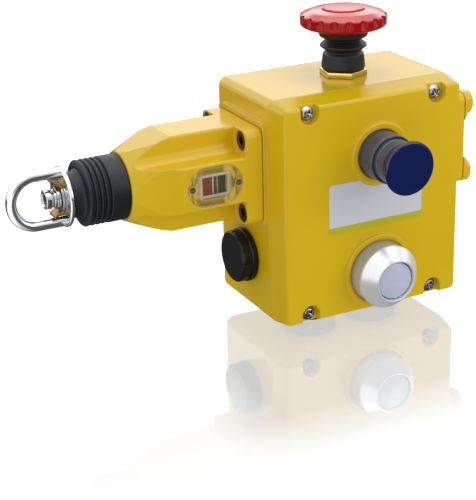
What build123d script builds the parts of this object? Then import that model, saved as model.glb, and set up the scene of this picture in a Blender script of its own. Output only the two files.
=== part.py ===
from build123d import *
import os
from math import cos, pi, sin

# Rope-pull emergency stop switch, in millimetres.
# Origin: centre of the four fixing holes, on the rear mounting plane.
# +X to the right seen from the front, +Y backwards through the rear plane, +Z up.
# The rope pulls towards -X, and the lid with the reset button and the lamp faces -Y.

# Cast box and lid
BODY_W = 96.0
BODY_H = 106.8
BODY_D = 62.5
LID_D = 11.8
WALL = 3.5
FLOOR_T = 4.0
CORNER_R = 4.5
REAR_EDGE_R = 2.5
LID_T = 3.2
LID_DRAFT = 10.5
LID_EDGE_R = 1.5
PARTING_CHAMFER = 0.3

# Lid screws in their open notches
LID_SCREW_IN = 14.8
LID_SCREW_DROP = 5.4
LID_SCREW_R = 2.0
LID_CORE_R = 1.7
CROSS_W = 0.8
LID_HEAD_R = 3.4
LID_HEAD_T = 2.4
LID_SCREW_LEN = 20.0
NOTCH_R = 4.2
NOTCH_DEPTH = 3.6
NOTCH_DRAFT = 8.0
LID_BOSS_R = 5.0

# Lid gasket in its groove
GASKET_INSET = 1.0
GASKET_W = 1.4
GASKET_T = 1.2

# Fixing holes in the rear plane
FIX_IN = 10.0
FIX_DROP = 13.4
FIX_HOLE_R = 2.1
FIX_DEPTH = 10.0
FIX_BOSS_R = 6.0
FIX_BOSS_H = 9.0

# Rope axis and the two side pads
AXIS_DROP = 34.9
PAD_FRONT_GAP = 1.3
PAD_REAR_GAP = 5.0
PAD_EXTRA_H = 5.1
PAD_RAISE = 1.9
PAD_R = 4.0
SIDE_BORE_R = 13.0
SIDE_GASKET_T = 0.5

# Snout casting
SNOUT_R = 4.0
FLANGE_T = 8.0
STRAIGHT_L = 31.0
TAPER_L = 21.2
NOSE_R = 15.8
NOSE_CONE_R = 26.0
FLUTE_W = 11.6
ARM_EDGE_R = 1.2
FLUTE_R = 5.5
SPIGOT_R = 12.4
SPIGOT_L = 7.0
SNOUT_BORE_R = 11.5
SIDE_SCREW_INSET = 5.2
SIDE_SCREW_R = 2.5
SIDE_TAP_R = 2.1
HOLE_GAP = 0.2
SIDE_HEAD_R = 4.0
SIDE_HEAD_T = 4.4
COUNTERBORE_R = 4.6
COUNTERBORE_D = 4.6
SOCKET_AF = 4.0

# Tension window in the snout's front face
WINDOW_AT = 23.3
WINDOW_L = 27.0
WINDOW_H = 18.6
WINDOW_RECESS = 2.2
WINDOW_OPEN_L = 16.0
WINDOW_OPEN_H = 12.0
WINDOW_FLOOR_T = 2.8
LENS_T = 1.8
LENS_PANE_L = 14.2
LENS_PANE_H = 11.2
LENS_PANE_T = 1.2
MASK_T = 0.8
MASK_RIM = 1.3
LENS_FIT = 0.3
LENS_EDGE = 0.5
PANE_R = 1.0
PANE_EDGE = 0.4
WINDOW_SCREW_PITCH = 22.6
WINDOW_SCREW_R = 1.0
WINDOW_HEAD_R = 1.5
WINDOW_HEAD_T = 0.7
WINDOW_CORE_R = 0.8
WINDOW_HOLE_GAP = 0.1
WINDOW_SLOT_W = 0.4

# Pull rod and what rides on it
ROD_R = 5.0
ROPE_TRAVEL = 12.0
ROD_HEAD_R = 8.0
ROD_HEAD_L = 4.5
ROD_END_EDGE = 0.8
ROD_FIT = 0.05
ROD_END_REACH = 103.0
BUSH_WALL = 3.2
BUSH_FLANGE_R = 10.6
BUSH_FLANGE_T = 2.0
BUSH_SET = 9.5
FLAG_L = 27.0
FLAG_H = 11.0
FLAG_T = 1.4
FLAG_GAP = 0.6
FLAG_HUB_L = 6.0
FLAG_HUB_R = 10.5
FLAG_STEM_L = 4.0
SEAT_R = 9.5
SEAT_T = 2.0
ROPE_SPRING_R = 7.4
ROPE_WIRE_R = 0.9
CAM_R = 9.0
CAM_WAIST_R = 6.8
CAM_L = 62.0
CAM_SIDE_GAP = 0.6
CAM_PIN_R = 1.5
CAM_PIN_INSET = 0.5

# Rubber bellows over the nose
BELLOWS_R = 14.9
BELLOWS_L = 18.9
BELLOWS_WALL = 2.2
GROOVE_PITCH = 2.45
GROOVE_W = 0.9
GROOVE_D = 1.2
GROOVE_COUNT = 4
GROOVE_START = 2.0
NECK_R = 10.5
NECK_L = 6.4
RIM_ROUND = 0.6
NECK_ROUND_R = 0.8
NECK_ROUND_L = 1.6
NECK_DRAFT = 0.4
SLEEVE_WALL = 1.2

# Swivel eye
EYE_DISC_R = 13.5
EYE_DISC_T = 2.0
EYE_DISC_EDGE = 0.7
EYE_PITCH = 22.6
EYE_ROD_R = 2.4
EYE_LEG_L = 11.2
EYE_BOLT_R = 2.5
EYE_SHOULDER_R = 3.5
EYE_SHOULDER_FIT = 0.05
EYE_HEAD_R = 4.4
EYE_HEAD_L = 3.6
EYE_HEAD_EDGE = 0.6
EYE_COLLAR_R = 3.9
EYE_COLLAR_L = 1.5
EYE_BOLT_GRIP = 14.0
EYE_WASHER_R = 5.0
EYE_WASHER_T = 1.6
TAB_PLATE_T = 0.8
TAB_PLATE_R = 6.4
TAB_W = 7.4
TAB_L = 3.4
TAB_T = 1.0
TAB_RISE = 1.9
RUN_GAP = 0.3

# Blind end cap on the right
CAP_PLATE_T = 8.2
CAP_BOSS_R = 6.0
CAP_BOSS_H = 4.2
CAP_FLARE = 3.0
CAP_FLARE_H = 2.0
CAP_EDGE = 0.8
CAP_SPIGOT_L = 14.0
END_BUSH_L = 20.0

# Emergency stop button on top
ESTOP_X = 3.7
ESTOP_FORWARD = 1.2
ESTOP_BARREL_R = 8.0
ESTOP_BARREL_UP = 9.0
ESTOP_BARREL_DOWN = 12.0
ESTOP_FLANGE_R = 11.5
ESTOP_FLANGE_T = 2.5
ESTOP_NUT_AF = 19.8
ESTOP_NUT_T = 2.9
ESTOP_NUT_TURN = 20.0
ESTOP_NUT_EDGE = 0.6
ESTOP_STEM_R = 5.0
ESTOP_TRAVEL = 4.0
ESTOP_HEAD_R = 20.0
ESTOP_RIM_UP = 23.3
ESTOP_RIM_T = 3.9
ESTOP_DOME_H = 3.9
RIM_EDGE = 0.4
RIM_SOFT = 0.7
UNDER_DROP = 1.2
UNDER_OUT = 2.8
ESTOP_CAP_R = 10.4
ESTOP_CAP_T = 1.2
ESTOP_CAP_RAISE = 0.7
ESTOP_CAP_EDGE = 0.3
ESTOP_CAP_FIT = 0.1
CLIP_W = 2.5
CLIP_T = 1.0
ESTOP_SCALLOPS = 18
ESTOP_SCALLOP_R = 3.2
ESTOP_SCALLOP_D = 0.55
ESTOP_HUB_R = 12.6
ESTOP_HUB_L = 2.1
CROWN_MID_R = 15.5
CROWN_BULGE = 0.35
ESTOP_SPINDLE_R = 3.5
ESTOP_SPRING_GAP = 1.1
ESTOP_SPRING_WIRE = 0.6
ESTOP_BOOT_WALL = 1.1
BOOT_SEAT_R = 9.8
BOOT_FOOT_UP = 4.1
BOOT_FOOT_R = 10.4
BOOT_SHOULDER_UP = 10.5
BOOT_SHOULDER_R = 9.6
BOOT_VALLEY_UP = 11.5
BOOT_VALLEY_R = 8.5
BOOT_FOLD_UP = 14.2
BOOT_FOLD_R = 11.4
BOOT_WAIST_UP = 17.1
BOOT_WAIST_R = 8.3
BOOT_FLARE_UP = 18.6
BOOT_FLARE_R = 11.7
BOOT_TOP_R = 12.0

# Reset button on the lid
RESET_X = 2.6
RESET_DROP = 29.0
RESET_FLOOR = 3.0
RESET_COLLAR_R = 11.3
RESET_COLLAR_L = 11.5
RESET_COLLAR_WALL = 0.8
COLLAR_EDGE = 0.4
RESET_BARREL_R = 8.0
RESET_BARREL_L = 14.0
RESET_SHAFT_R = 5.0
RESET_SLEEVE_L = 19.0
RESET_SLEEVE_WALL = 1.6
RESET_TAIL_L = 6.0
RESET_SPRING_GAP = 1.5
RESET_SPRING_WIRE = 0.5
RESET_TRAVEL = 4.0
RESET_CAP_R = 12.8
RESET_CAP_L = 7.2
CAP_FOOT_L = 1.0
CAP_RIM_L = 2.0
CAP_RIM_EDGE = 1.0
CAP_RIM_SOFT = 0.3
CAP_DISH = 0.5
RESET_RING_R = 14.8

# Lamp on the lid
LAMP_X = 2.6
LAMP_RISE = 20.5
LAMP_BARREL_R = 11.0
LAMP_BARREL_L = 18.0
LAMP_BARREL_WALL = 1.5
LAMP_BARREL_DROP = 1.0
LAMP_COLLAR_R = 14.7
LAMP_COLLAR_L = 8.3
LAMP_BEZEL_R = 15.2
LAMP_BEZEL_LIP = 1.4
LAMP_BEZEL_L = 8.0
LAMP_FACE_W = 0.7
LAMP_FACE_EDGE = 0.3
LAMP_LENS_SIDE = 0.6
LAMP_LENS_GAP = 0.4
LAMP_RING_R = 18.1
LAMP_MODULE_L = 12.0
LAMP_DIODE_R = 3.0
LAMP_DIODE_L = 7.5
LENS_SKIRT_L = 6.0
LENS_SHELL_T = 1.6
LENS_SKIRT_WALL = 1.4
LENS_INSET = 0.6
LENS_DOME_H = 0.9
RING_H = 1.4
RING_GAP = 0.3
RING_SINK = 0.5
LOCKNUT_T = 3.5
LOCKNUT_WALL = 3.6
THREAD_GAP = 0.05

# Label plate on the lid
LABEL_X = 1.0
LABEL_DROP = 11.1
LABEL_W = 49.4
LABEL_GAP = 4.3
LABEL_T = 0.3
LABEL_R = 1.6

# Cable entries, tapped M20 by 1.5
ENTRY_GAP = 7.55
BOTTOM_ENTRY_X = 17.0
ENTRY_R = 9.25
ENTRY_BOSS_R = 13.0
ENTRY_BOSS_H = 4.0
PLUG_FLANGE_R = 12.8
PLUG_FLANGE_T = 2.5
PLUG_EDGE = 0.5
PLUG_NECK_R = 11.6
PLUG_NECK_L = 0.6
PLUG_KNOB_R = 12.3
PLUG_KNOB_L = 4.1
PLUG_KNOB_EDGE = 0.8
PLUG_FLAT_R = 1.6
PLUG_FLAT_OUT = 1.2
PLUG_KNURLS = 12
PLUG_SHANK_L = 6.0
PLUG_SEAL_T = 0.8
PLUG_SEAL_INSET = 1.0

# Contacts and terminals inside
CONTACT_L = 20.0
CONTACT_W = 20.0
CONTACT_DROP = 5.0
CONTACT_GAP = 6.4
CONTACT_SLOT = 3.0
CONTACT_PITCH = 28.0
CONTACT_X = 2.0
PLUNGER_R = 1.6
PLUNGER_FIT = 0.1
PLUNGER_SEAT = 3.0
BRACKET_T = 1.5
BRACKET_UP = 14.0
BRACKET_SCREW_R = 2.8
BRACKET_SCREW_UP = 9.0
TERMINAL_END_GAP = 0.2
TERMINAL_W = 14.0
TERMINAL_H = 14.0
TERMINAL_POLES = 8
TERMINAL_SCREW_R = 1.8
TERMINAL_SCREW_L = 4.0
TERMINAL_SCREW_GAP = 0.2
TERMINAL_SLOT_W = 0.6
TERMINAL_WELL = 5.0
WIRE_HOLE_R = 1.4
TERMINAL_RISE = 3.0

# Planes and stations that follow from the sizes above
SNOUT_SIDE = BODY_D - LID_D - PAD_FRONT_GAP - PAD_REAR_GAP
ARM_W = SNOUT_SIDE - 2 * FLUTE_W
SIDE_SCREW_PITCH = SNOUT_SIDE - 2 * SIDE_SCREW_INSET
PAD_H = SNOUT_SIDE + PAD_EXTRA_H
FRONT_Y = -BODY_D
PARTING_Y = FRONT_Y + LID_D
AXIS_Y = -(PAD_REAR_GAP + SNOUT_SIDE / 2)
ESTOP_Y = AXIS_Y - ESTOP_FORWARD
TOP_Z = BODY_H / 2
AXIS_Z = TOP_Z - AXIS_DROP
LID_SCREW_X = BODY_W / 2 - LID_SCREW_IN
LID_SCREW_Z = TOP_Z - LID_SCREW_DROP
LAMP_LENS_R = LAMP_BARREL_R - LAMP_BARREL_WALL - LAMP_LENS_SIDE
LAMP_SEAT_R = LAMP_LENS_R + LAMP_LENS_GAP
LAMP_FACE_R = LAMP_SEAT_R + LAMP_FACE_W
TERMINAL_L = 2 * (LID_SCREW_X - LID_BOSS_R - TERMINAL_END_GAP)
FIX_X = BODY_W / 2 - FIX_IN
FIX_Z = TOP_Z - FIX_DROP
RESET_Z = TOP_Z - RESET_DROP
LAMP_Z = -TOP_Z + LAMP_RISE
LABEL_TOP_Z = RESET_Z - LABEL_DROP
LABEL_H = LABEL_TOP_Z - LAMP_Z - LAMP_RING_R - LABEL_GAP
ENTRY_Z = AXIS_Z - PAD_H / 2 - ENTRY_GAP - PLUG_FLANGE_R
CONTACT_TOP = AXIS_Z - CAM_R - CONTACT_DROP
CONTACT_H = CONTACT_TOP - LAMP_Z - LAMP_BARREL_R - CONTACT_GAP
PAD_X = BODY_W / 2 + PAD_RAISE
SIDE_X = PAD_X + SIDE_GASKET_T
FLANGE_X = SIDE_X + FLANGE_T
STRAIGHT_X = FLANGE_X + STRAIGHT_L
NOSE_X = STRAIGHT_X + TAPER_L
SPIGOT_X = NOSE_X + SPIGOT_L
BELLOWS_RIM_X = NOSE_X + BELLOWS_L
ROD_TIP_X = BELLOWS_RIM_X + NECK_L
DISC_X = ROD_TIP_X + RUN_GAP
DISC_FRONT_X = DISC_X + EYE_DISC_T
TAB_FRONT_X = DISC_FRONT_X + TAB_PLATE_T
EYE_WASHER_X = TAB_FRONT_X + RUN_GAP
EYE_HEAD_X = EYE_WASHER_X + EYE_WASHER_T
EYE_END_X = EYE_HEAD_X + EYE_COLLAR_L + EYE_HEAD_L
SNOUT_FRONT_Y = AXIS_Y - SNOUT_SIDE / 2
WINDOW_X = -(FLANGE_X - FLANGE_T + WINDOW_AT)
BUSH_X = NOSE_X - BUSH_SET
CAM_X = 0.0
ROD_END_X = ROD_END_REACH / 2


def at_x(x):
    return Plane.YZ.offset(x)


def at_y(y):
    return Plane.XZ.offset(-y)


def prism_x(sketch, x0, x1, y=AXIS_Y, z=AXIS_Z):
    """Extrude a Y-Z sketch, centred on (y, z), from x0 to x1."""
    low, high = min(x0, x1), max(x0, x1)
    return extrude(at_x(low) * Pos(y, z) * sketch, amount=high - low)


def prism_y(sketch, y0, y1, x=0.0, z=0.0, taper=0.0):
    """Extrude an X-Z sketch, centred on (x, z), from the rear station y1 forward to y0."""
    return extrude(at_y(y1) * Pos(x, z) * sketch, amount=y1 - y0, taper=taper)


def prism_z(sketch, z0, z1, x=0.0, y=0.0):
    return extrude(Plane.XY.offset(z0) * Pos(x, y) * sketch, amount=z1 - z0)


def rod_x(r, x0, x1, y=AXIS_Y, z=AXIS_Z):
    return prism_x(Circle(r), x0, x1, y, z)


def rod_y(r, y0, y1, x=0.0, z=0.0):
    return prism_y(Circle(r), y0, y1, x, z)


def rod_z(r, z0, z1, x=0.0, y=0.0):
    return prism_z(Circle(r), z0, z1, x, y)


def block(x0, x1, y0, y1, z0, z1):
    size = Box(x1 - x0, y1 - y0, z1 - z0)
    return Pos((x0 + x1) / 2, (y0 + y1) / 2, (z0 + z1) / 2) * size


def turned(profile, origin, direction, soft=0.0):
    """Revolve closed (station, radius) points about a line, their corners rounded by soft."""
    outline = make_face(Plane.XZ * Polyline(*[(r, s) for s, r in profile], close=True))
    if soft:
        outer = [v for v in outline.vertices() if v.X > 0.01]
        outline = fillet(outer, soft)
    return Plane(origin=origin, z_dir=direction).location * revolve(outline, Axis.Z)


def along_x(profile, soft=0.0):
    """A turned piece on the rope axis, its stations measured from X = 0 towards the eye."""
    return turned(profile, (0, AXIS_Y, AXIS_Z), (-1, 0, 0), soft)


def four(dx, dy):
    return [(sx * dx, sy * dy) for sx in (-1, 1) for sy in (-1, 1)]


def side_screws():
    half = SIDE_SCREW_PITCH / 2
    return [(AXIS_Y + dy, AXIS_Z + dz) for dy, dz in four(half, half)]


def coil_spring(length, radius, wire, turns):
    """A round-wire compression spring along +Z from Z = 0, its end turns inside the length."""
    pitch = (length - 2 * wire) / turns
    path = Helix(pitch=pitch, height=pitch * turns, radius=radius)
    wire_face = Plane(origin=path @ 0, z_dir=path % 0) * Circle(wire)
    return Pos(0, 0, wire) * sweep(wire_face, path=path, is_frenet=True)


def cap_screw_x(x_seat, x_tip, y, z):
    """A socket head screw along X, its head outside x_seat and its shank down to x_tip."""
    out = 1 if x_seat > x_tip else -1
    head_x = x_seat + out * SIDE_HEAD_T
    screw = rod_x(SIDE_HEAD_R, x_seat, head_x, y, z) + rod_x(SIDE_TAP_R, x_tip, x_seat, y, z)
    socket = RegularPolygon(SOCKET_AF / 2, 6, major_radius=False)
    return screw - prism_x(socket, head_x - out * SIDE_HEAD_T / 2, head_x, y, z)


# Housing

def housing_bosses():
    """Screw pillars along the top and bottom walls and the fixing bosses on the floor."""
    pillars = [
        rod_y(LID_BOSS_R, PARTING_Y, -FLOOR_T, x, z) for x, z in four(LID_SCREW_X, LID_SCREW_Z)
    ]
    fixings = [
        rod_y(FIX_BOSS_R, -FLOOR_T - FIX_BOSS_H, -FLOOR_T, x, z) for x, z in four(FIX_X, FIX_Z)
    ]
    return pillars + fixings


def entries():
    """The cable entries as (centre, outward direction), the left one first, then the two below."""
    left = ((-BODY_W / 2, AXIS_Y, ENTRY_Z), (-1, 0, 0))
    below = [((x, -BODY_D / 2, -TOP_Z), (0, 0, -1)) for x in (-BOTTOM_ENTRY_X, BOTTOM_ENTRY_X)]
    return [left] + below


def at_entry(place, r, near, far):
    """A cylinder on an entry's axis, its two depths measured inwards from the box's face."""
    return turned([(-far, 0), (-far, r), (-near, r), (-near, 0)], *place)


def make_housing():
    shell = prism_y(RectangleRounded(BODY_W, BODY_H, CORNER_R), PARTING_Y, 0)
    shell = fillet(shell.edges().group_by(Axis.Y)[-1], REAR_EDGE_R)
    shell = chamfer(shell.edges().group_by(Axis.Y)[0], PARTING_CHAMFER)
    inner_w, inner_h = BODY_W - 2 * WALL, BODY_H - 2 * WALL
    cavity = prism_y(RectangleRounded(inner_w, inner_h, CORNER_R - WALL), PARTING_Y, -FLOOR_T)
    inside_x = BODY_W / 2 - WALL
    for place in entries():
        cavity -= at_entry(place, ENTRY_BOSS_R, WALL, WALL + ENTRY_BOSS_H)
    for boss in housing_bosses():
        cavity -= boss
    body = shell - cavity
    for place in entries():
        body -= at_entry(place, ENTRY_R, 0, WALL + ENTRY_BOSS_H)
    for side in (-1, 1):
        pad = prism_x(RectangleRounded(SNOUT_SIDE, PAD_H, PAD_R), side * inside_x, side * PAD_X)
        body += pad
        body -= rod_x(SIDE_BORE_R, side * (inside_x - 1), side * PAD_X)
        for y, z in side_screws():
            body -= rod_x(SIDE_TAP_R, side * (inside_x - 1), side * PAD_X, y, z)
    for x, z in four(LID_SCREW_X, LID_SCREW_Z):
        body -= rod_y(LID_CORE_R, PARTING_Y, PARTING_Y + LID_SCREW_LEN, x, z)
    for x, z in four(FIX_X, FIX_Z):
        body -= rod_y(FIX_HOLE_R, -FIX_DEPTH, 0, x, z)
    body -= rod_z(ESTOP_BARREL_R + THREAD_GAP, TOP_Z - WALL - 1, TOP_Z, ESTOP_X, ESTOP_Y)
    return body - gasket_ring(PARTING_Y, PARTING_Y + GASKET_T)


def gasket_ring(y0, y1):
    w, h = BODY_W - 2 * GASKET_INSET, BODY_H - 2 * GASKET_INSET
    outer = RectangleRounded(w, h, CORNER_R - GASKET_INSET)
    inner = RectangleRounded(w - 2 * GASKET_W, h - 2 * GASKET_W, CORNER_R - GASKET_INSET - GASKET_W)
    return prism_y(outer - inner, y0, y1)


# Lid

def notch(x, z):
    """The open U-shaped pocket round one lid screw, wider at its mouth."""
    reach = 2 * (TOP_Z - LID_SCREW_Z)
    slot = Circle(NOTCH_R) + Pos(0, reach / 2 * (1 if z > 0 else -1)) * Rectangle(2 * NOTCH_R, reach)
    return prism_y(slot, FRONT_Y - RING_H, FRONT_Y + NOTCH_DEPTH, x, z, taper=-NOTCH_DRAFT)


def lid_ring(r_in, r_out, x, z):
    """The cast bead round a button, rounded at its top."""
    profile = [(-RING_SINK, r_in), (RING_H, r_in), (RING_H, r_out), (-RING_SINK, r_out)]
    face = make_face(Plane.XZ * Polyline(*[(r, s) for s, r in profile], close=True))
    top = face.vertices().group_by(Axis.Z)[-1]
    bead = revolve(fillet(top, RING_H * 0.6), Axis.Z)
    return Plane(origin=(x, FRONT_Y, z), z_dir=(0, -1, 0)).location * bead


def make_lid():
    edge = PARTING_CHAMFER
    widest = PARTING_Y - edge
    lid = prism_y(RectangleRounded(BODY_W, BODY_H, CORNER_R), FRONT_Y, widest, taper=LID_DRAFT)
    lid = fillet(lid.edges().group_by(Axis.Y)[0], LID_EDGE_R)
    mating = RectangleRounded(BODY_W - 2 * edge, BODY_H - 2 * edge, CORNER_R - edge)
    lid += prism_y(mating, widest, PARTING_Y, taper=-45)
    inner = RectangleRounded(BODY_W - 2 * WALL, BODY_H - 2 * WALL, CORNER_R - WALL)
    cavity = prism_y(inner, FRONT_Y + LID_T, PARTING_Y, taper=LID_DRAFT)
    for x, z in four(LID_SCREW_X, LID_SCREW_Z):
        cavity -= rod_y(NOTCH_R + WALL, FRONT_Y, PARTING_Y, x, z)
    lid -= cavity
    lid += lid_ring(RESET_COLLAR_R + RING_GAP, RESET_RING_R, RESET_X, RESET_Z)
    lid += lid_ring(LAMP_BEZEL_R + RING_GAP, LAMP_RING_R, LAMP_X, LAMP_Z)
    for x, z in four(LID_SCREW_X, LID_SCREW_Z):
        lid -= notch(x, z)
        lid -= rod_y(LID_SCREW_R + HOLE_GAP, FRONT_Y, PARTING_Y, x, z)
    lid -= rod_y(RESET_BARREL_R + THREAD_GAP, FRONT_Y, PARTING_Y, RESET_X, RESET_Z)
    lid -= rod_y(LAMP_BARREL_R + THREAD_GAP, FRONT_Y, PARTING_Y, LAMP_X, LAMP_Z)
    return lid


def lid_screw(x, z):
    """A pan head screw with a cross recess, seated on the notch's floor."""
    seat = FRONT_Y + NOTCH_DEPTH
    head = fillet(
        rod_y(LID_HEAD_R, seat - LID_HEAD_T, seat, x, z).edges().group_by(Axis.Y)[0],
        LID_HEAD_T / 2,
    )
    cross = Rectangle(LID_HEAD_R, CROSS_W) + Rectangle(CROSS_W, LID_HEAD_R)
    head -= prism_y(cross, seat - LID_HEAD_T, seat - LID_HEAD_T / 3, x, z)
    return head + rod_y(LID_CORE_R, seat, seat + LID_SCREW_LEN, x, z)


def make_label():
    plate = prism_y(
        RectangleRounded(LABEL_W, LABEL_H, LABEL_R),
        FRONT_Y - LABEL_T, FRONT_Y, LABEL_X, LABEL_TOP_Z - LABEL_H / 2,
    )
    return plate - rod_y(RESET_RING_R + RING_GAP, FRONT_Y - 1, FRONT_Y, RESET_X, RESET_Z)


# Snout

def cross_section():
    """The snout's square with its four corner flutes, arms rounded outside and flutes inside."""
    away = (ARM_W + SNOUT_SIDE) / 2
    shape = Rectangle(SNOUT_SIDE, SNOUT_SIDE)
    for dx, dy in four(away, away):
        shape -= Pos(dx, dy) * RectangleRounded(SNOUT_SIDE, SNOUT_SIDE, FLUTE_R)
    tips = [v for v in shape.vertices() if max(abs(v.X), abs(v.Y)) > SNOUT_SIDE / 2 - 0.01]
    return fillet(tips, ARM_EDGE_R)


def snout_envelope():
    """A square bar that runs into four sloping facets, its corners rounded towards the nose."""
    bar = prism_x(Rectangle(SNOUT_SIDE, SNOUT_SIDE), -SIDE_X, -STRAIGHT_X)
    wide = at_x(-STRAIGHT_X) * Pos(AXIS_Y, AXIS_Z) * Rectangle(SNOUT_SIDE, SNOUT_SIDE)
    narrow = at_x(-NOSE_X) * Pos(AXIS_Y, AXIS_Z) * Rectangle(2 * NOSE_R, 2 * NOSE_R)
    facets = loft([wide, narrow])
    cone = along_x([
        (SIDE_X, 0), (SIDE_X, SNOUT_SIDE), (STRAIGHT_X, SNOUT_SIDE),
        (STRAIGHT_X, NOSE_CONE_R), (NOSE_X, NOSE_R), (NOSE_X, 0),
    ])
    return (bar + facets) & cone


def make_snout():
    flange = prism_x(RectangleRounded(SNOUT_SIDE, SNOUT_SIDE, SNOUT_R), -SIDE_X, -FLANGE_X)
    arms = prism_x(cross_section(), -FLANGE_X, -NOSE_X) & snout_envelope()
    snout = flange + arms + rod_x(SPIGOT_R, -NOSE_X, -SPIGOT_X)
    snout -= rod_x(SNOUT_BORE_R, -SIDE_X, -BUSH_X)
    snout -= rod_x(ROD_R + BUSH_WALL, -BUSH_X, -SPIGOT_X)
    for y, z in side_screws():
        snout -= rod_x(COUNTERBORE_R, -FLANGE_X, -FLANGE_X + COUNTERBORE_D, y, z)
        snout -= rod_x(SIDE_SCREW_R + HOLE_GAP, -SIDE_X, -FLANGE_X, y, z)
    return snout - window_cut()


def obround(length, height):
    return SlotOverall(length, height)


def window_cut():
    """The lens recess, the viewing hole and the chamber that the flag slides in."""
    recess = prism_y(obround(WINDOW_L, WINDOW_H), SNOUT_FRONT_Y, SNOUT_FRONT_Y + WINDOW_RECESS,
                     WINDOW_X, AXIS_Z)
    opening = prism_y(Rectangle(WINDOW_OPEN_L, WINDOW_OPEN_H), SNOUT_FRONT_Y, AXIS_Y,
                      WINDOW_X, AXIS_Z)
    half = FLAG_H / 2 + FLAG_GAP
    chamber = block(
        flag_x() - FLAG_L / 2 - ROPE_TRAVEL - FLAG_GAP, flag_x() + FLAG_L / 2 + FLAG_GAP,
        flag_y() - FLAG_GAP, AXIS_Y, AXIS_Z - half, AXIS_Z + half,
    )
    holes = [
        rod_y(WINDOW_CORE_R, SNOUT_FRONT_Y, window_screw_tip(), x, AXIS_Z)
        for x in window_screw_stations()
    ]
    cut = recess + opening + chamber
    for hole in holes:
        cut += hole
    return cut


def flag_x():
    """The flag's middle with the rope slack: its pulled-out half is behind the window later."""
    return WINDOW_X + ROPE_TRAVEL / 2


def flag_y():
    """The flag's front face, close behind the window's floor."""
    return SNOUT_FRONT_Y + WINDOW_RECESS + WINDOW_FLOOR_T + FLAG_GAP


def window_screw_stations():
    return [WINDOW_X - WINDOW_SCREW_PITCH / 2, WINDOW_X + WINDOW_SCREW_PITCH / 2]


def window_screw_tip():
    return SNOUT_FRONT_Y + WINDOW_RECESS + WINDOW_FLOOR_T - RUN_GAP


def make_window_mask():
    floor = SNOUT_FRONT_Y + WINDOW_RECESS
    outline = obround(WINDOW_L, WINDOW_H) - Rectangle(
        LENS_PANE_L - 2 * MASK_RIM, LENS_PANE_H - 2 * MASK_RIM)
    mask = prism_y(outline, floor - MASK_T, floor, WINDOW_X, AXIS_Z)
    for x in window_screw_stations():
        mask -= rod_y(WINDOW_SCREW_R + WINDOW_HOLE_GAP, floor - MASK_T, floor, x, AXIS_Z)
    return mask


def make_window_lens():
    """A clear obround plate with a raised rectangular pane."""
    back = SNOUT_FRONT_Y + WINDOW_RECESS - MASK_T
    face = back - LENS_T
    outline = obround(WINDOW_L - LENS_FIT, WINDOW_H - LENS_FIT)
    plate = prism_y(outline, face, back, WINDOW_X, AXIS_Z)
    plate = chamfer(plate.edges().group_by(Axis.Y)[0], LENS_EDGE)
    pane = prism_y(RectangleRounded(LENS_PANE_L, LENS_PANE_H, PANE_R), face - LENS_PANE_T,
                   back - LENS_T / 2, WINDOW_X, AXIS_Z)
    lens = plate + fillet(pane.edges().group_by(Axis.Y)[0], PANE_EDGE)
    for x in window_screw_stations():
        lens -= rod_y(WINDOW_HEAD_R + WINDOW_HOLE_GAP, face, face + WINDOW_HEAD_T, x, AXIS_Z)
        lens -= rod_y(WINDOW_SCREW_R + WINDOW_HOLE_GAP, face, back, x, AXIS_Z)
    return lens


def window_screw(x):
    seat = SNOUT_FRONT_Y + WINDOW_RECESS - MASK_T - LENS_T + WINDOW_HEAD_T
    head = rod_y(WINDOW_HEAD_R, seat - WINDOW_HEAD_T, seat, x, AXIS_Z)
    slot = Rectangle(2 * WINDOW_HEAD_R, WINDOW_SLOT_W)
    head -= prism_y(slot, seat - WINDOW_HEAD_T, seat - WINDOW_HEAD_T / 2, x, AXIS_Z)
    return head + rod_y(WINDOW_CORE_R, seat, window_screw_tip(), x, AXIS_Z)


def make_side_gasket(side):
    ring = RectangleRounded(SNOUT_SIDE - 1, SNOUT_SIDE - 1, SNOUT_R) - Circle(SIDE_BORE_R)
    gasket = prism_x(ring, side * PAD_X, side * SIDE_X)
    for y, z in side_screws():
        gasket -= rod_x(SIDE_SCREW_R + HOLE_GAP, side * PAD_X, side * SIDE_X, y, z)
    return gasket


def snout_screw(y, z):
    return cap_screw_x(-FLANGE_X + COUNTERBORE_D, -(BODY_W / 2 - WALL), y, z)


# Pull rod

def make_nose_bush():
    return along_x([
        (BUSH_X - BUSH_FLANGE_T, ROD_R + ROD_FIT), (BUSH_X - BUSH_FLANGE_T, BUSH_FLANGE_R),
        (BUSH_X, BUSH_FLANGE_R), (BUSH_X, ROD_R + BUSH_WALL), (SPIGOT_X, ROD_R + BUSH_WALL),
        (SPIGOT_X, ROD_R + ROD_FIT),
    ])


def make_pull_rod():
    """The turned rod: a head under the eye, a long shank and a blind hole for the eye bolt."""
    head_x = ROD_TIP_X - ROD_HEAD_L
    rod = along_x([
        (-ROD_END_X, 0), (-ROD_END_X, ROD_R - ROD_END_EDGE), (-ROD_END_X + ROD_END_EDGE, ROD_R),
        (head_x, ROD_R),
        (head_x, ROD_HEAD_R), (ROD_TIP_X, ROD_HEAD_R), (ROD_TIP_X, 0),
    ])
    rod -= rod_x(EYE_BOLT_R, -ROD_TIP_X, -(ROD_TIP_X - EYE_BOLT_GRIP))
    return rod - rod_z(CAM_PIN_R, AXIS_Z - ROD_R, AXIS_Z + ROD_R, CAM_X, AXIS_Y)


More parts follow.
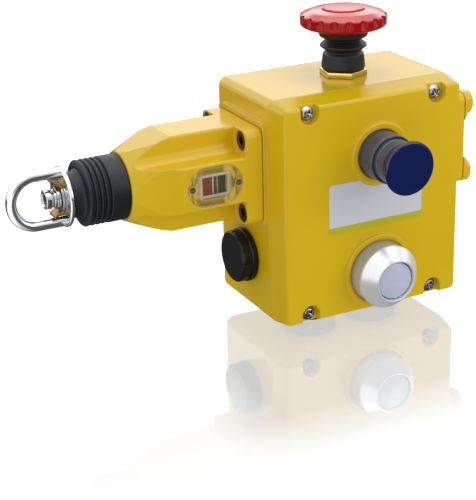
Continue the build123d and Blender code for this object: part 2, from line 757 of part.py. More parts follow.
def make_flag():
    """The tension flag: a hub on the rod and an arm that holds the two-colour plate."""
    front = flag_y()
    hub_x = -flag_x()
    hub = along_x([
        (hub_x - FLAG_HUB_L / 2, ROD_R), (hub_x - FLAG_HUB_L / 2, FLAG_HUB_R),
        (hub_x + FLAG_HUB_L / 2, FLAG_HUB_R), (hub_x + FLAG_HUB_L / 2, ROD_R),
    ])
    plate = block(-hub_x - FLAG_L / 2, -hub_x + FLAG_L / 2, front, front + FLAG_T,
                  AXIS_Z - FLAG_H / 2, AXIS_Z + FLAG_H / 2)
    stem = block(-hub_x - FLAG_STEM_L / 2, -hub_x + FLAG_STEM_L / 2, front + FLAG_T,
                 AXIS_Y - ROD_R - 1, AXIS_Z - FLAG_STEM_L, AXIS_Z + FLAG_STEM_L)
    return hub + stem + plate


def seat_station():
    """The spring seat's face towards the nose, against the flag's hub."""
    return -flag_x() + FLAG_HUB_L / 2 + SEAT_T


def make_spring_seat():
    face = seat_station()
    return along_x([(face - SEAT_T, ROD_R), (face - SEAT_T, SEAT_R), (face, SEAT_R), (face, ROD_R)])


def make_rope_spring():
    length = BUSH_X - BUSH_FLANGE_T - seat_station() - 2 * RUN_GAP
    spring = coil_spring(length, ROPE_SPRING_R, ROPE_WIRE_R, 5)
    return Plane(origin=(-seat_station() - RUN_GAP, AXIS_Y, AXIS_Z), z_dir=(-1, 0, 0)).location * spring


def make_cam():
    """The switching cam: two long ramps that press the contact plungers down as the rod travels."""
    half = CAM_L / 2
    points = [(-half, ROD_R), (-half, CAM_R)]
    for seat in (-CONTACT_X - CONTACT_PITCH / 2, -CONTACT_X + CONTACT_PITCH / 2):
        flat = seat + PLUNGER_R + CAM_SIDE_GAP
        points += [
            (seat - ROPE_TRAVEL, CAM_R), (seat, CAM_WAIST_R), (flat, CAM_WAIST_R),
            (flat + CAM_R - CAM_WAIST_R, CAM_R),
        ]
    points += [(half, CAM_R), (half, ROD_R)]
    cam = along_x(points)
    return cam - rod_z(CAM_PIN_R, AXIS_Z - CAM_R, AXIS_Z + CAM_R, CAM_X, AXIS_Y)


def make_cam_pin():
    half = CAM_R - CAM_PIN_INSET
    return rod_z(CAM_PIN_R, AXIS_Z - half, AXIS_Z + half, CAM_X, AXIS_Y)


def make_bellows():
    """The rubber sleeve over the nose: fine ring grooves, a flat rim and a neck to the eye."""
    rim = BELLOWS_RIM_X
    outer = [(NOSE_X, SPIGOT_R), (NOSE_X, BELLOWS_R)]
    for i in reversed(range(GROOVE_COUNT)):
        mid = rim - GROOVE_START - i * GROOVE_PITCH
        outer += [
            (mid - GROOVE_W, BELLOWS_R), (mid, BELLOWS_R - GROOVE_D), (mid + GROOVE_W, BELLOWS_R),
        ]
    outer += [
        (rim - RIM_ROUND, BELLOWS_R), (rim, BELLOWS_R - RIM_ROUND), (rim + RIM_ROUND, NECK_R + NECK_ROUND_R),
        (rim + NECK_ROUND_L, NECK_R), (ROD_TIP_X, NECK_R - NECK_DRAFT),
    ]
    inside_r = BELLOWS_R - GROOVE_D - SLEEVE_WALL
    inner = [
        (ROD_TIP_X, ROD_HEAD_R + RUN_GAP), (ROD_TIP_X - ROD_HEAD_L - 1, ROD_HEAD_R + RUN_GAP),
        (rim - BELLOWS_WALL, inside_r), (SPIGOT_X, inside_r), (SPIGOT_X, SPIGOT_R),
    ]
    return along_x(outer + inner)


# Swivel eye

def make_eye_disc():
    disc = along_x([
        (DISC_X, EYE_SHOULDER_R + EYE_SHOULDER_FIT), (DISC_X, EYE_DISC_R),
        (DISC_FRONT_X, EYE_DISC_R), (DISC_FRONT_X, EYE_SHOULDER_R + EYE_SHOULDER_FIT),
    ])
    disc = fillet(disc.edges().filter_by(GeomType.CIRCLE).sort_by(SortBy.RADIUS)[-2:], EYE_DISC_EDGE)
    for dz in (-EYE_PITCH / 2, EYE_PITCH / 2):
        disc -= rod_x(EYE_ROD_R, -DISC_X, -DISC_FRONT_X, AXIS_Y, AXIS_Z + dz)
    return disc


def make_eye_bow():
    """The U-shaped rod, its legs through the disc and flush with the disc's back."""
    half = EYE_PITCH / 2
    bend_x = -(DISC_FRONT_X + EYE_LEG_L)
    top, bottom = AXIS_Z + half, AXIS_Z - half
    upper = Line((-DISC_X, AXIS_Y, top), (bend_x, AXIS_Y, top))
    bend = ThreePointArc((bend_x, AXIS_Y, top), (bend_x - half, AXIS_Y, AXIS_Z),
                         (bend_x, AXIS_Y, bottom))
    lower = Line((bend_x, AXIS_Y, bottom), (-DISC_X, AXIS_Y, bottom))
    path = Wire([upper.edge(), bend.edge(), lower.edge()])
    section = Plane(origin=(-DISC_X, AXIS_Y, top), z_dir=(-1, 0, 0)) * Circle(EYE_ROD_R)
    return sweep(section, path=path)


def make_tab_washer():
    """A plated washer with two tabs bent forward and outward beside the screw head."""
    hole = EYE_SHOULDER_R + EYE_SHOULDER_FIT
    plate = rod_x(TAB_PLATE_R, -DISC_FRONT_X, -TAB_FRONT_X) - rod_x(hole, -DISC_FRONT_X, -TAB_FRONT_X)
    low = EYE_WASHER_R + RUN_GAP
    for side in (-1, 1):
        strip = [
            (-DISC_FRONT_X, low), (-TAB_FRONT_X, low), (-TAB_FRONT_X - TAB_L, low + TAB_RISE),
            (-TAB_FRONT_X - TAB_L, low + TAB_RISE + TAB_T), (-DISC_FRONT_X, low + TAB_T),
        ]
        outline = make_face(Polyline(*[(x, side * z) for x, z in strip], close=True))
        rear = at_y(AXIS_Y + TAB_W / 2) * Pos(0, AXIS_Z)
        plate += extrude(rear * outline, amount=TAB_W, dir=(0, -1, 0))
    return plate


def make_eye_washer():
    return along_x([
        (EYE_WASHER_X, EYE_SHOULDER_R), (EYE_WASHER_X, EYE_WASHER_R),
        (EYE_HEAD_X, EYE_WASHER_R), (EYE_HEAD_X, EYE_SHOULDER_R),
    ])


def make_eye_bolt():
    """The shoulder screw that the eye turns on, with a socket in its head."""
    end = EYE_END_X
    bolt = along_x([
        (ROD_TIP_X - EYE_BOLT_GRIP + 1, 0), (ROD_TIP_X - EYE_BOLT_GRIP + 1, EYE_BOLT_R),
        (ROD_TIP_X, EYE_BOLT_R), (ROD_TIP_X, EYE_SHOULDER_R), (EYE_HEAD_X, EYE_SHOULDER_R),
        (EYE_HEAD_X, EYE_COLLAR_R), (end - EYE_HEAD_L, EYE_COLLAR_R), (end - EYE_HEAD_L, EYE_HEAD_R),
        (end - EYE_HEAD_EDGE, EYE_HEAD_R), (end, EYE_HEAD_R - EYE_HEAD_EDGE), (end, 0),
    ])
    socket = RegularPolygon(SOCKET_AF / 2, 6, major_radius=False)
    return bolt - prism_x(socket, -end, -end + EYE_HEAD_L * 0.7)


# End cap on the right

def make_end_cap():
    """The blind cap: a plate with four screw bosses and a spigot that carries the end bush."""
    plate = prism_x(RectangleRounded(SNOUT_SIDE, SNOUT_SIDE, SNOUT_R), SIDE_X, SIDE_X + CAP_PLATE_T)
    plate = fillet(plate.edges().group_by(Axis.X)[-1], ARM_EDGE_R)
    top = SIDE_X + CAP_PLATE_T + CAP_BOSS_H
    cap = plate + rod_x(SIDE_BORE_R - HOLE_GAP, SIDE_X - CAP_SPIGOT_L, SIDE_X)
    for y, z in side_screws():
        boss = turned(
            [(0, 0), (0, CAP_BOSS_R + CAP_FLARE), (CAP_FLARE_H, CAP_BOSS_R),
             (CAP_BOSS_H - CAP_EDGE, CAP_BOSS_R), (CAP_BOSS_H, CAP_BOSS_R - CAP_EDGE), (CAP_BOSS_H, 0)],
            (SIDE_X + CAP_PLATE_T, y, z), (1, 0, 0),
        )
        limit = prism_x(RectangleRounded(SNOUT_SIDE, SNOUT_SIDE, SNOUT_R), SIDE_X, top)
        cap += boss & limit
    cap -= rod_x(ROD_R + BUSH_WALL, SIDE_X - CAP_SPIGOT_L, SIDE_X - CAP_SPIGOT_L + END_BUSH_L)
    for y, z in side_screws():
        cap -= rod_x(COUNTERBORE_R, top - SIDE_HEAD_T - 1, top, y, z)
        cap -= rod_x(SIDE_SCREW_R + HOLE_GAP, SIDE_X, top, y, z)
    return cap


def end_cap_screw(y, z):
    seat = SIDE_X + CAP_PLATE_T + CAP_BOSS_H - SIDE_HEAD_T - 1
    return cap_screw_x(seat, BODY_W / 2 - WALL, y, z)


def make_end_bush():
    start = SIDE_X - CAP_SPIGOT_L
    return rod_x(ROD_R + BUSH_WALL, start, start + END_BUSH_L) - rod_x(
        ROD_R + ROD_FIT, start, start + END_BUSH_L)


# Emergency stop button

def on_top(profile, soft=0.0):
    """A turned piece on the button's axis, stations measured up from the box's top face."""
    return turned(profile, (ESTOP_X, ESTOP_Y, TOP_Z), (0, 0, 1), soft)


def make_estop_barrel():
    bore = ESTOP_STEM_R + ROD_FIT
    return on_top([
        (-ESTOP_BARREL_DOWN, bore), (-ESTOP_BARREL_DOWN, ESTOP_BARREL_R),
        (-WALL - ESTOP_FLANGE_T, ESTOP_BARREL_R), (-WALL - ESTOP_FLANGE_T, ESTOP_FLANGE_R),
        (-WALL, ESTOP_FLANGE_R), (-WALL, ESTOP_BARREL_R), (ESTOP_BARREL_UP, ESTOP_BARREL_R),
        (ESTOP_BARREL_UP, bore),
    ])


def make_estop_nut():
    hexagon = Rot(0, 0, ESTOP_NUT_TURN) * RegularPolygon(ESTOP_NUT_AF / 2, 6, major_radius=False)
    hole = Circle(ESTOP_BARREL_R + THREAD_GAP)
    nut = prism_z(hexagon - hole, TOP_Z, TOP_Z + ESTOP_NUT_T, ESTOP_X, ESTOP_Y)
    corner_r = ESTOP_NUT_AF / 2 / cos(pi / 6)
    crown = on_top([
        (0, 0), (0, corner_r), (ESTOP_NUT_T - ESTOP_NUT_EDGE, corner_r),
        (ESTOP_NUT_T, corner_r - 2 * ESTOP_NUT_EDGE),
        (ESTOP_NUT_T, 0),
    ])
    return nut & crown


def hub_station():
    """The flat underside of the button's hub, above the box's top face."""
    return ESTOP_RIM_UP - ESTOP_HUB_L


def boot_outline():
    """Stations and radii of the boot's outside, from the nut up to the button's underside."""
    return [
        (ESTOP_NUT_T, BOOT_SEAT_R), (BOOT_FOOT_UP, BOOT_FOOT_R), (BOOT_SHOULDER_UP, BOOT_SHOULDER_R),
        (BOOT_VALLEY_UP, BOOT_VALLEY_R), (BOOT_FOLD_UP, BOOT_FOLD_R), (BOOT_WAIST_UP, BOOT_WAIST_R),
        (BOOT_FLARE_UP, BOOT_FLARE_R), (hub_station() - RUN_GAP, BOOT_TOP_R),
    ]


def make_estop_boot():
    outer = boot_outline()
    wall = ESTOP_BOOT_WALL
    inner = [(s, r - wall) for s, r in outer[1:-1]]
    low, high = outer[0][0], outer[-1][0]
    inner = [(low, ESTOP_BARREL_R + THREAD_GAP), (low + wall, ESTOP_BARREL_R + THREAD_GAP)] + inner[1:]
    inner += [(high, outer[-1][1] - wall)]
    return on_top(outer + inner[::-1])


def make_estop_stem():
    """The sliding stem, with a spindle on top that the button turns on."""
    low = AXIS_Z + CAM_R + ESTOP_TRAVEL + 1 - TOP_Z
    step = hub_station() - RUN_GAP
    spindle_top = ESTOP_RIM_UP + ESTOP_RIM_T
    return on_top([
        (low, 0), (low, ESTOP_STEM_R), (step, ESTOP_STEM_R), (step, ESTOP_SPINDLE_R),
        (spindle_top, ESTOP_SPINDLE_R), (spindle_top, 0),
    ])


def make_estop_clip():
    low = -ESTOP_BARREL_DOWN - RUN_GAP
    return on_top([
        (low - CLIP_T, ESTOP_STEM_R), (low - CLIP_T, ESTOP_STEM_R + CLIP_W), (low, ESTOP_STEM_R + CLIP_W),
        (low, ESTOP_STEM_R),
    ])


def make_estop_spring():
    low = ESTOP_BARREL_UP + RUN_GAP
    high = hub_station() - RUN_GAP
    spring = coil_spring(high - low, ESTOP_STEM_R + ESTOP_SPRING_GAP, ESTOP_SPRING_WIRE, 4)
    return Pos(ESTOP_X, ESTOP_Y, TOP_Z + low) * spring


def dome_height(r):
    """Height above the rim's top edge of the button's crown at radius r."""
    return ESTOP_DOME_H * (ESTOP_HEAD_R - r) / (ESTOP_HEAD_R - ESTOP_CAP_R)


def make_estop_head():
    """The mushroom: a scalloped rim, a shallow crown and a hub that turns on the spindle."""
    bore = ESTOP_SPINDLE_R + ROD_FIT
    seat_r = ESTOP_CAP_R + ESTOP_CAP_FIT
    rim_low, rim_top = ESTOP_RIM_UP, ESTOP_RIM_UP + ESTOP_RIM_T
    crown_top = rim_top + ESTOP_DOME_H
    head = on_top([
        (hub_station(), bore), (hub_station(), ESTOP_HUB_R),
        (rim_low - UNDER_DROP, ESTOP_HUB_R + UNDER_OUT), (rim_low - RIM_EDGE / 2, ESTOP_HEAD_R - UNDER_DROP),
        (rim_low + RIM_EDGE, ESTOP_HEAD_R - RIM_SOFT / 2), (rim_top - RIM_EDGE, ESTOP_HEAD_R),
        (rim_top + RIM_EDGE, ESTOP_HEAD_R - RIM_SOFT),
        (rim_top + dome_height(CROWN_MID_R) + CROWN_BULGE, CROWN_MID_R), (crown_top, seat_r),
        (crown_top - ESTOP_CAP_T, seat_r), (crown_top - ESTOP_CAP_T, bore),
    ])
    reach = ESTOP_HEAD_R + ESTOP_SCALLOP_R - ESTOP_SCALLOP_D
    for i in range(ESTOP_SCALLOPS):
        turn = 2 * pi * i / ESTOP_SCALLOPS
        head -= rod_z(ESTOP_SCALLOP_R, TOP_Z + rim_low - 1, TOP_Z + rim_top + 1,
                      ESTOP_X + reach * cos(turn), ESTOP_Y + reach * sin(turn))
    return head


def make_estop_cap():
    low = ESTOP_RIM_UP + ESTOP_RIM_T + ESTOP_DOME_H - ESTOP_CAP_T
    high = low + ESTOP_CAP_T + ESTOP_CAP_RAISE
    return on_top([
        (low, 0), (low, ESTOP_CAP_R), (high - ESTOP_CAP_EDGE, ESTOP_CAP_R),
        (high, ESTOP_CAP_R - ESTOP_CAP_EDGE), (high, 0),
    ])


# Reset button

def on_lid(profile, x, z, soft=0.0):
    """A turned piece on the lid, stations measured forward from the lid's front face."""
    return turned(profile, (x, FRONT_Y, z), (0, -1, 0), soft)


def make_reset_collar():
    """The fixed collar, with a wide bore for the sleeve and a barrel through the lid."""
    shaft = RESET_SHAFT_R + ROD_FIT
    pocket = RESET_COLLAR_R - RESET_COLLAR_WALL
    return on_lid([
        (-RESET_BARREL_L, shaft), (-RESET_BARREL_L, RESET_BARREL_R), (0, RESET_BARREL_R),
        (0, RESET_COLLAR_R), (RESET_COLLAR_L - COLLAR_EDGE, RESET_COLLAR_R),
        (RESET_COLLAR_L, RESET_COLLAR_R - COLLAR_EDGE), (RESET_COLLAR_L, pocket), (RESET_FLOOR, pocket),
        (RESET_FLOOR, shaft),
    ], RESET_X, RESET_Z)


def sleeve_r():
    return RESET_COLLAR_R - RESET_COLLAR_WALL - RUN_GAP


def make_reset_plunger():
    """The sleeve that the cap sits on, one piece with the shaft through the collar."""
    foot = RESET_FLOOR + RESET_TRAVEL + 1
    inside_r = sleeve_r() - RESET_SLEEVE_WALL
    web = RESET_SLEEVE_L - RESET_FLOOR
    tail = -RESET_BARREL_L - RESET_TAIL_L
    return on_lid([
        (tail, 0), (tail, RESET_SHAFT_R), (web, RESET_SHAFT_R), (web, inside_r),
        (foot, inside_r), (foot, sleeve_r()), (RESET_SLEEVE_L, sleeve_r()),
        (RESET_SLEEVE_L, 0),
    ], RESET_X, RESET_Z)


def make_reset_cap():
    """The blue cap: a cone that opens to a shallow dished disc."""
    back, front = RESET_SLEEVE_L, RESET_SLEEVE_L + RESET_CAP_L
    return on_lid([
        (back, 0), (back, sleeve_r()), (back + CAP_FOOT_L, sleeve_r()),
        (front - CAP_RIM_L, RESET_CAP_R - CAP_RIM_SOFT), (front - CAP_RIM_EDGE, RESET_CAP_R),
        (front - CAP_RIM_SOFT, RESET_CAP_R - CAP_RIM_SOFT), (front, RESET_CAP_R - CAP_RIM_EDGE),
        (front - CAP_DISH, 0),
    ], RESET_X, RESET_Z)


def make_reset_clip():
    face = -RESET_BARREL_L - RUN_GAP
    return on_lid([
        (face - CLIP_T, RESET_SHAFT_R), (face - CLIP_T, RESET_SHAFT_R + CLIP_W),
        (face, RESET_SHAFT_R + CLIP_W),
        (face, RESET_SHAFT_R),
    ], RESET_X, RESET_Z)


def make_reset_spring():
    low, high = RESET_FLOOR + RUN_GAP, RESET_SLEEVE_L - RESET_FLOOR - RUN_GAP
    spring = coil_spring(high - low, RESET_SHAFT_R + RESET_SPRING_GAP, RESET_SPRING_WIRE, 5)
    return Plane(origin=(RESET_X, FRONT_Y - low, RESET_Z), z_dir=(0, -1, 0)).location * spring


def make_locknut(barrel_r, x, z):
    return on_lid([
        (-LID_T - LOCKNUT_T, barrel_r + THREAD_GAP), (-LID_T - LOCKNUT_T, barrel_r + LOCKNUT_WALL),
        (-LID_T, barrel_r + LOCKNUT_WALL), (-LID_T, barrel_r + THREAD_GAP),
    ], x, z)


# Lamp

def make_lamp_barrel():
    bore = LAMP_BARREL_R - LAMP_BARREL_WALL
    front = LAMP_COLLAR_L - LAMP_BARREL_DROP
    return on_lid([
        (-LAMP_BARREL_L, bore), (-LAMP_BARREL_L, LAMP_BARREL_R), (front, LAMP_BARREL_R), (front, bore),
    ], LAMP_X, LAMP_Z)


def make_lamp_collar():
    return on_lid([
        (0, LAMP_BARREL_R + THREAD_GAP), (0, LAMP_COLLAR_R), (LAMP_COLLAR_L, LAMP_COLLAR_R),
        (LAMP_COLLAR_L, LAMP_BARREL_R + THREAD_GAP),
    ], LAMP_X, LAMP_Z)


def make_lamp_bezel():
    """The silver cone from the collar's lip to the narrow ring round the lens."""
    low = LAMP_COLLAR_L
    high = low + LAMP_BEZEL_L
    edge = LAMP_FACE_EDGE
    return on_lid([
        (low, LAMP_SEAT_R), (low, LAMP_BEZEL_R - edge), (low + edge, LAMP_BEZEL_R),
        (low + LAMP_BEZEL_LIP, LAMP_BEZEL_R), (high - edge, LAMP_FACE_R + edge / 2),
        (high, LAMP_FACE_R - edge / 2), (high, LAMP_SEAT_R),
    ], LAMP_X, LAMP_Z)


def make_lamp_lens():
    """The diffusing lens: a shallow dome on a skirt that stands in the barrel."""
    face = LAMP_COLLAR_L + LAMP_BEZEL_L - LENS_INSET
    turns = [pi / 2 * i / 4 for i in range(5)]
    dome = [(face + LENS_DOME_H * cos(a), LAMP_LENS_R * sin(a)) for a in turns]
    skirt = LAMP_LENS_R - LENS_SKIRT_WALL
    return on_lid(
        [(face - LENS_SHELL_T, 0)] + dome + [
            (LAMP_COLLAR_L - LENS_SKIRT_L, LAMP_LENS_R), (LAMP_COLLAR_L - LENS_SKIRT_L, skirt),
            (face - LENS_SHELL_T, skirt),
        ],
        LAMP_X, LAMP_Z,
    )


def make_lamp_module():
    """The lamp holder behind the barrel, with the diode on its front."""
    back = -LAMP_BARREL_L
    return on_lid([
        (back - LAMP_MODULE_L, 0), (back - LAMP_MODULE_L, LAMP_BARREL_R - 1), (back, LAMP_BARREL_R - 1),
        (back, LAMP_DIODE_R), (back + LAMP_DIODE_L - 2.5, LAMP_DIODE_R),
        (back + LAMP_DIODE_L - 1.0, LAMP_DIODE_R - 0.6), (back + LAMP_DIODE_L, 0),
    ], LAMP_X, LAMP_Z)


# Cable entry plugs on the left and below

def blanking_plug(place):
    """A threaded shank, a flange and a knob with finger flats, stations measured outwards."""
    f1 = PLUG_SEAL_T + PLUG_FLANGE_T
    k0 = f1 + PLUG_NECK_L
    k1 = k0 + PLUG_KNOB_L
    shank_r = ENTRY_R - THREAD_GAP
    plug = turned([
        (-PLUG_SHANK_L, 0), (-PLUG_SHANK_L, shank_r), (PLUG_SEAL_T, shank_r),
        (PLUG_SEAL_T, PLUG_FLANGE_R), (f1 - PLUG_EDGE, PLUG_FLANGE_R), (f1, PLUG_FLANGE_R - PLUG_EDGE),
        (f1, PLUG_NECK_R), (k0, PLUG_NECK_R), (k0, PLUG_KNOB_R), (k1 - PLUG_KNOB_EDGE, PLUG_KNOB_R),
        (k1, PLUG_KNOB_R - PLUG_KNOB_EDGE), (k1, 0),
    ], *place)
    reach = PLUG_KNOB_R + PLUG_FLAT_OUT
    flats = Sketch() + PolarLocations(reach, PLUG_KNURLS) * Circle(PLUG_FLAT_R)
    centre, outward = place
    knob = Plane(origin=centre, z_dir=outward).offset(k0)
    return plug - extrude(knob * flats, PLUG_KNOB_L)


def plug_seal(place):
    rim = PLUG_FLANGE_R - PLUG_SEAL_INSET
    return turned([(0, ENTRY_R), (0, rim), (PLUG_SEAL_T, rim), (PLUG_SEAL_T, ENTRY_R)], *place)


# Contacts and terminals

def contact_stations():
    return [CONTACT_X - CONTACT_PITCH / 2, CONTACT_X + CONTACT_PITCH / 2]


def plunger_top():
    """The plunger's tip, just under the cam's waist with the rope slack."""
    return AXIS_Z - CAM_WAIST_R - RUN_GAP


def contact_block(x):
    top = CONTACT_TOP
    base = block(x - CONTACT_L / 2, x + CONTACT_L / 2, AXIS_Y - CONTACT_W / 2,
                 AXIS_Y + CONTACT_W / 2, top - CONTACT_H, top)
    slots = block(x - CONTACT_L / 2, x + CONTACT_L / 2, AXIS_Y - CONTACT_SLOT / 2, AXIS_Y + CONTACT_SLOT / 2,
                  top - CONTACT_H, top - CONTACT_H + CONTACT_SLOT)
    depth = PLUNGER_SEAT + CAM_R - CAM_WAIST_R + RUN_GAP
    return base - slots - rod_z(PLUNGER_R + PLUNGER_FIT, top - depth, top, x, AXIS_Y)


def contact_plunger(x):
    pin = rod_z(PLUNGER_R, CONTACT_TOP - PLUNGER_SEAT, plunger_top(), x, AXIS_Y)
    return fillet(pin.edges().group_by(Axis.Z)[-1], PLUNGER_R * 0.8)


def make_contact_bracket():
    """The bent plate from the floor that the contact blocks are screwed to."""
    top = CONTACT_TOP - CONTACT_H
    x0, x1 = contact_stations()[0] - CONTACT_L / 2, contact_stations()[1] + CONTACT_L / 2
    shelf = block(x0, x1, AXIS_Y - CONTACT_W / 2, -FLOOR_T, top - BRACKET_T, top)
    back = block(x0, x1, -FLOOR_T - BRACKET_T, -FLOOR_T, top, top + BRACKET_UP)
    return shelf + back


def bracket_screw(x):
    z = CONTACT_TOP - CONTACT_H + BRACKET_SCREW_UP
    seat = -FLOOR_T - BRACKET_T
    return rod_y(BRACKET_SCREW_R, seat - 2, seat, x, z)


def make_terminal_block():
    front, foot = -FLOOR_T - TERMINAL_W, terminal_z() - TERMINAL_H / 2
    base = block(-TERMINAL_L / 2, TERMINAL_L / 2, front, -FLOOR_T, foot, foot + TERMINAL_H)
    for x in terminal_stations():
        base -= rod_y(TERMINAL_SCREW_R + TERMINAL_SCREW_GAP, front, front + TERMINAL_WELL, x, terminal_z())
        base -= rod_z(WIRE_HOLE_R, foot, foot + TERMINAL_WELL, x, front + TERMINAL_W / 2)
    return base


def terminal_z():
    return -BODY_H / 2 + WALL + TERMINAL_H / 2 + TERMINAL_RISE


def terminal_stations():
    pitch = TERMINAL_L / TERMINAL_POLES
    return [-TERMINAL_L / 2 + pitch * (i + 0.5) for i in range(TERMINAL_POLES)]


def terminal_screw(x):
    front = -FLOOR_T - TERMINAL_W + TERMINAL_WELL - TERMINAL_SCREW_L
    screw = rod_y(TERMINAL_SCREW_R, front, front + TERMINAL_SCREW_L, x, terminal_z())
    slot = Rectangle(2 * TERMINAL_SCREW_R, TERMINAL_SLOT_W)
    return screw - prism_y(slot, front, front + TERMINAL_SLOT_W, x, terminal_z())


NODES = {
    "housing": make_housing,
    "lid": make_lid,
    "lid_gasket": lambda: gasket_ring(PARTING_Y, PARTING_Y + GASKET_T),
    "lid_screws": lambda: [lid_screw(x, z) for x, z in four(LID_SCREW_X, LID_SCREW_Z)],
    "label_plate": make_label,
    "snout": make_snout,
    "snout_gasket": lambda: make_side_gasket(-1),
    "snout_screws": lambda: [snout_screw(y, z) for y, z in side_screws()],
    "window_lens": make_window_lens,
    "window_mask": make_window_mask,
    "window_screws": lambda: [window_screw(x) for x in window_screw_stations()],
    "nose_bush": make_nose_bush,
    "pull_rod": make_pull_rod,
    "tension_flag": make_flag,
    "spring_seat": make_spring_seat,
    "rope_spring": make_rope_spring,
    "switching_cam": make_cam,
    "cam_pin": make_cam_pin,
    "snout_bellows": make_bellows,
    "eye_disc": make_eye_disc,
    "eye_bow": make_eye_bow,
    "tab_washer": make_tab_washer,
    "eye_washer": make_eye_washer,
    "eye_bolt": make_eye_bolt,
    "end_cap": make_end_cap,
    "end_cap_gasket": lambda: make_side_gasket(1),
    "end_cap_screws": lambda: [end_cap_screw(y, z) for y, z in side_screws()],
    "end_bush": make_end_bush,
    "estop_barrel": make_estop_barrel,
    "estop_nut": make_estop_nut,
    "estop_boot": make_estop_boot,
    "estop_stem": make_estop_stem,
    "estop_clip": make_estop_clip,
    "estop_spring": make_estop_spring,
    "estop_head": make_estop_head,
    "estop_cap": make_estop_cap,
    "reset_collar": make_reset_collar,
    "reset_plunger": make_reset_plunger,
    "reset_cap": make_reset_cap,
    "reset_clip": make_reset_clip,
    "reset_spring": make_reset_spring,
    "reset_locknut": lambda: make_locknut(RESET_BARREL_R, RESET_X, RESET_Z),
    "lamp_barrel": make_lamp_barrel,
    "lamp_collar": make_lamp_collar,
    "lamp_bezel": make_lamp_bezel,
    "lamp_lens": make_lamp_lens,
    "lamp_module": make_lamp_module,
    "lamp_locknut": lambda: make_locknut(LAMP_BARREL_R, LAMP_X, LAMP_Z),
    "entry_plug": lambda: blanking_plug(entries()[0]),
    "plug_seal": lambda: plug_seal(entries()[0]),
    "bottom_plugs": lambda: [blanking_plug(place) for place in entries()[1:]],
    "bottom_plug_seals": lambda: [plug_seal(place) for place in entries()[1:]],
    "contact_blocks": lambda: [contact_block(x) for x in contact_stations()],
    "contact_plungers": lambda: [contact_plunger(x) for x in contact_stations()],
    "contact_bracket": make_contact_bracket,
    "bracket_screws": lambda: [bracket_screw(x) for x in contact_stations()],
    "terminal_block": make_terminal_block,
    "terminal_screws": lambda: [terminal_screw(x) for x in terminal_stations()],
}


def solid_of(shape):
    """One plain solid of what a boolean left, or a compound of separate solids for a group."""
    if isinstance(shape, list):
        return Compound(children=[s for one in shape for s in one.solids()])
    found = shape.solids()
    return found[0] if len(found) == 1 else Compound(children=found)


def main():
    os.makedirs("parts", exist_ok=True)
    for node, make in NODES.items():
        export_step(solid_of(make()), f"parts/{node}.step")


main()
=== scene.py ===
import logging
import math
from dataclasses import dataclass, field
from enum import Enum
from typing import Callable, Optional, Sequence

import bmesh
import bpy
import numpy as np
from mathutils import Matrix, Vector


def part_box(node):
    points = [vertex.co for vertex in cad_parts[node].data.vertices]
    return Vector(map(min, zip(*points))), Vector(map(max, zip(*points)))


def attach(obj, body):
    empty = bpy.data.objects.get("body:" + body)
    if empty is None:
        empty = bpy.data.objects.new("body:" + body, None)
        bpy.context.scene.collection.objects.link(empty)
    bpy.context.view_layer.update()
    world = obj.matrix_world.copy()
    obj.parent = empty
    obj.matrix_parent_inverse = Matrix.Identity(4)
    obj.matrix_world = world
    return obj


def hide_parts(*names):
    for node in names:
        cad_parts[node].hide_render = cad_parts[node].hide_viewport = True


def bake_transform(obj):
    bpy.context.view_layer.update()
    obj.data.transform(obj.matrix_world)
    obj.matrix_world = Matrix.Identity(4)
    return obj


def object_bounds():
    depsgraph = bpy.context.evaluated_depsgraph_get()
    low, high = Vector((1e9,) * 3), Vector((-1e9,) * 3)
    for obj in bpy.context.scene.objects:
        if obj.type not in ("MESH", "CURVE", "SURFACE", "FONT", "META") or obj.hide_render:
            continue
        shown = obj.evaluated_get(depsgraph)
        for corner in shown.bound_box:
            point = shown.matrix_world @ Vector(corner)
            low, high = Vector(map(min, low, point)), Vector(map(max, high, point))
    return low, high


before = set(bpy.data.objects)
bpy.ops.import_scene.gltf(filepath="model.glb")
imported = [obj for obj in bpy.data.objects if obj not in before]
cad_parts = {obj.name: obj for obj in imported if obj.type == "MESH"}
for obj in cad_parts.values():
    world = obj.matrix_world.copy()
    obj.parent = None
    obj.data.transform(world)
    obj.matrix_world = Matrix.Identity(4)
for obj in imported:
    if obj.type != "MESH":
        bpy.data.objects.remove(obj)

CAD_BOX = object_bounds()
LOG = logging.getLogger("rope_switch")
MM = 0.001
WELD = 2e-6
USUAL_SHARP = 40.0
BEVEL_SAMPLES = 6
WHITE = (1.0, 1.0, 1.0)

Array = np.ndarray
Colour = tuple[float, float, float]
Point = tuple[float, float, float]
Corner = tuple[float, float, float]
Socket = bpy.types.NodeSocket
Outline = Callable[[float], Array]
Shape = Callable[[Array, Array, Array], tuple[Array, Array]]


class Way(Enum):
    """The way a turned piece looks: its axis, then the two cross directions it is turned through."""

    ROPE = ((-1, 0, 0), (0, 0, 1), (0, 1, 0))
    LID = ((0, -1, 0), (1, 0, 0), (0, 0, 1))
    UP = ((0, 0, 1), (1, 0, 0), (0, 1, 0))

    def place(self, origin: Point, station: Array, across: Array, up: Array) -> Array:
        """Points at origin + station·axis + across·first cross + up·second cross, in millimetres.

        Args:
            origin: the axis' start in millimetres.
            station: distance along the axis.
            across: distance along the first cross direction.
            up: distance along the second cross direction.

        Returns:
            The points, with the three coordinates last.
        """
        w, u, v = (np.array(d, dtype=float) for d in self.value)
        parts = [np.asarray(p, dtype=float)[..., None] for p in (station, across, up)]
        return np.array(origin, dtype=float) + parts[0] * w + parts[1] * u + parts[2] * v


class Body(Enum):
    """The moving groups of the switch, by their names in the record."""

    SWITCH = "switch"
    ROD = "pull_rod"
    EYE = "eye"
    STEM = "estop_stem"
    MUSHROOM = "estop_button"
    RESET = "reset_button"


# Grids and meshes


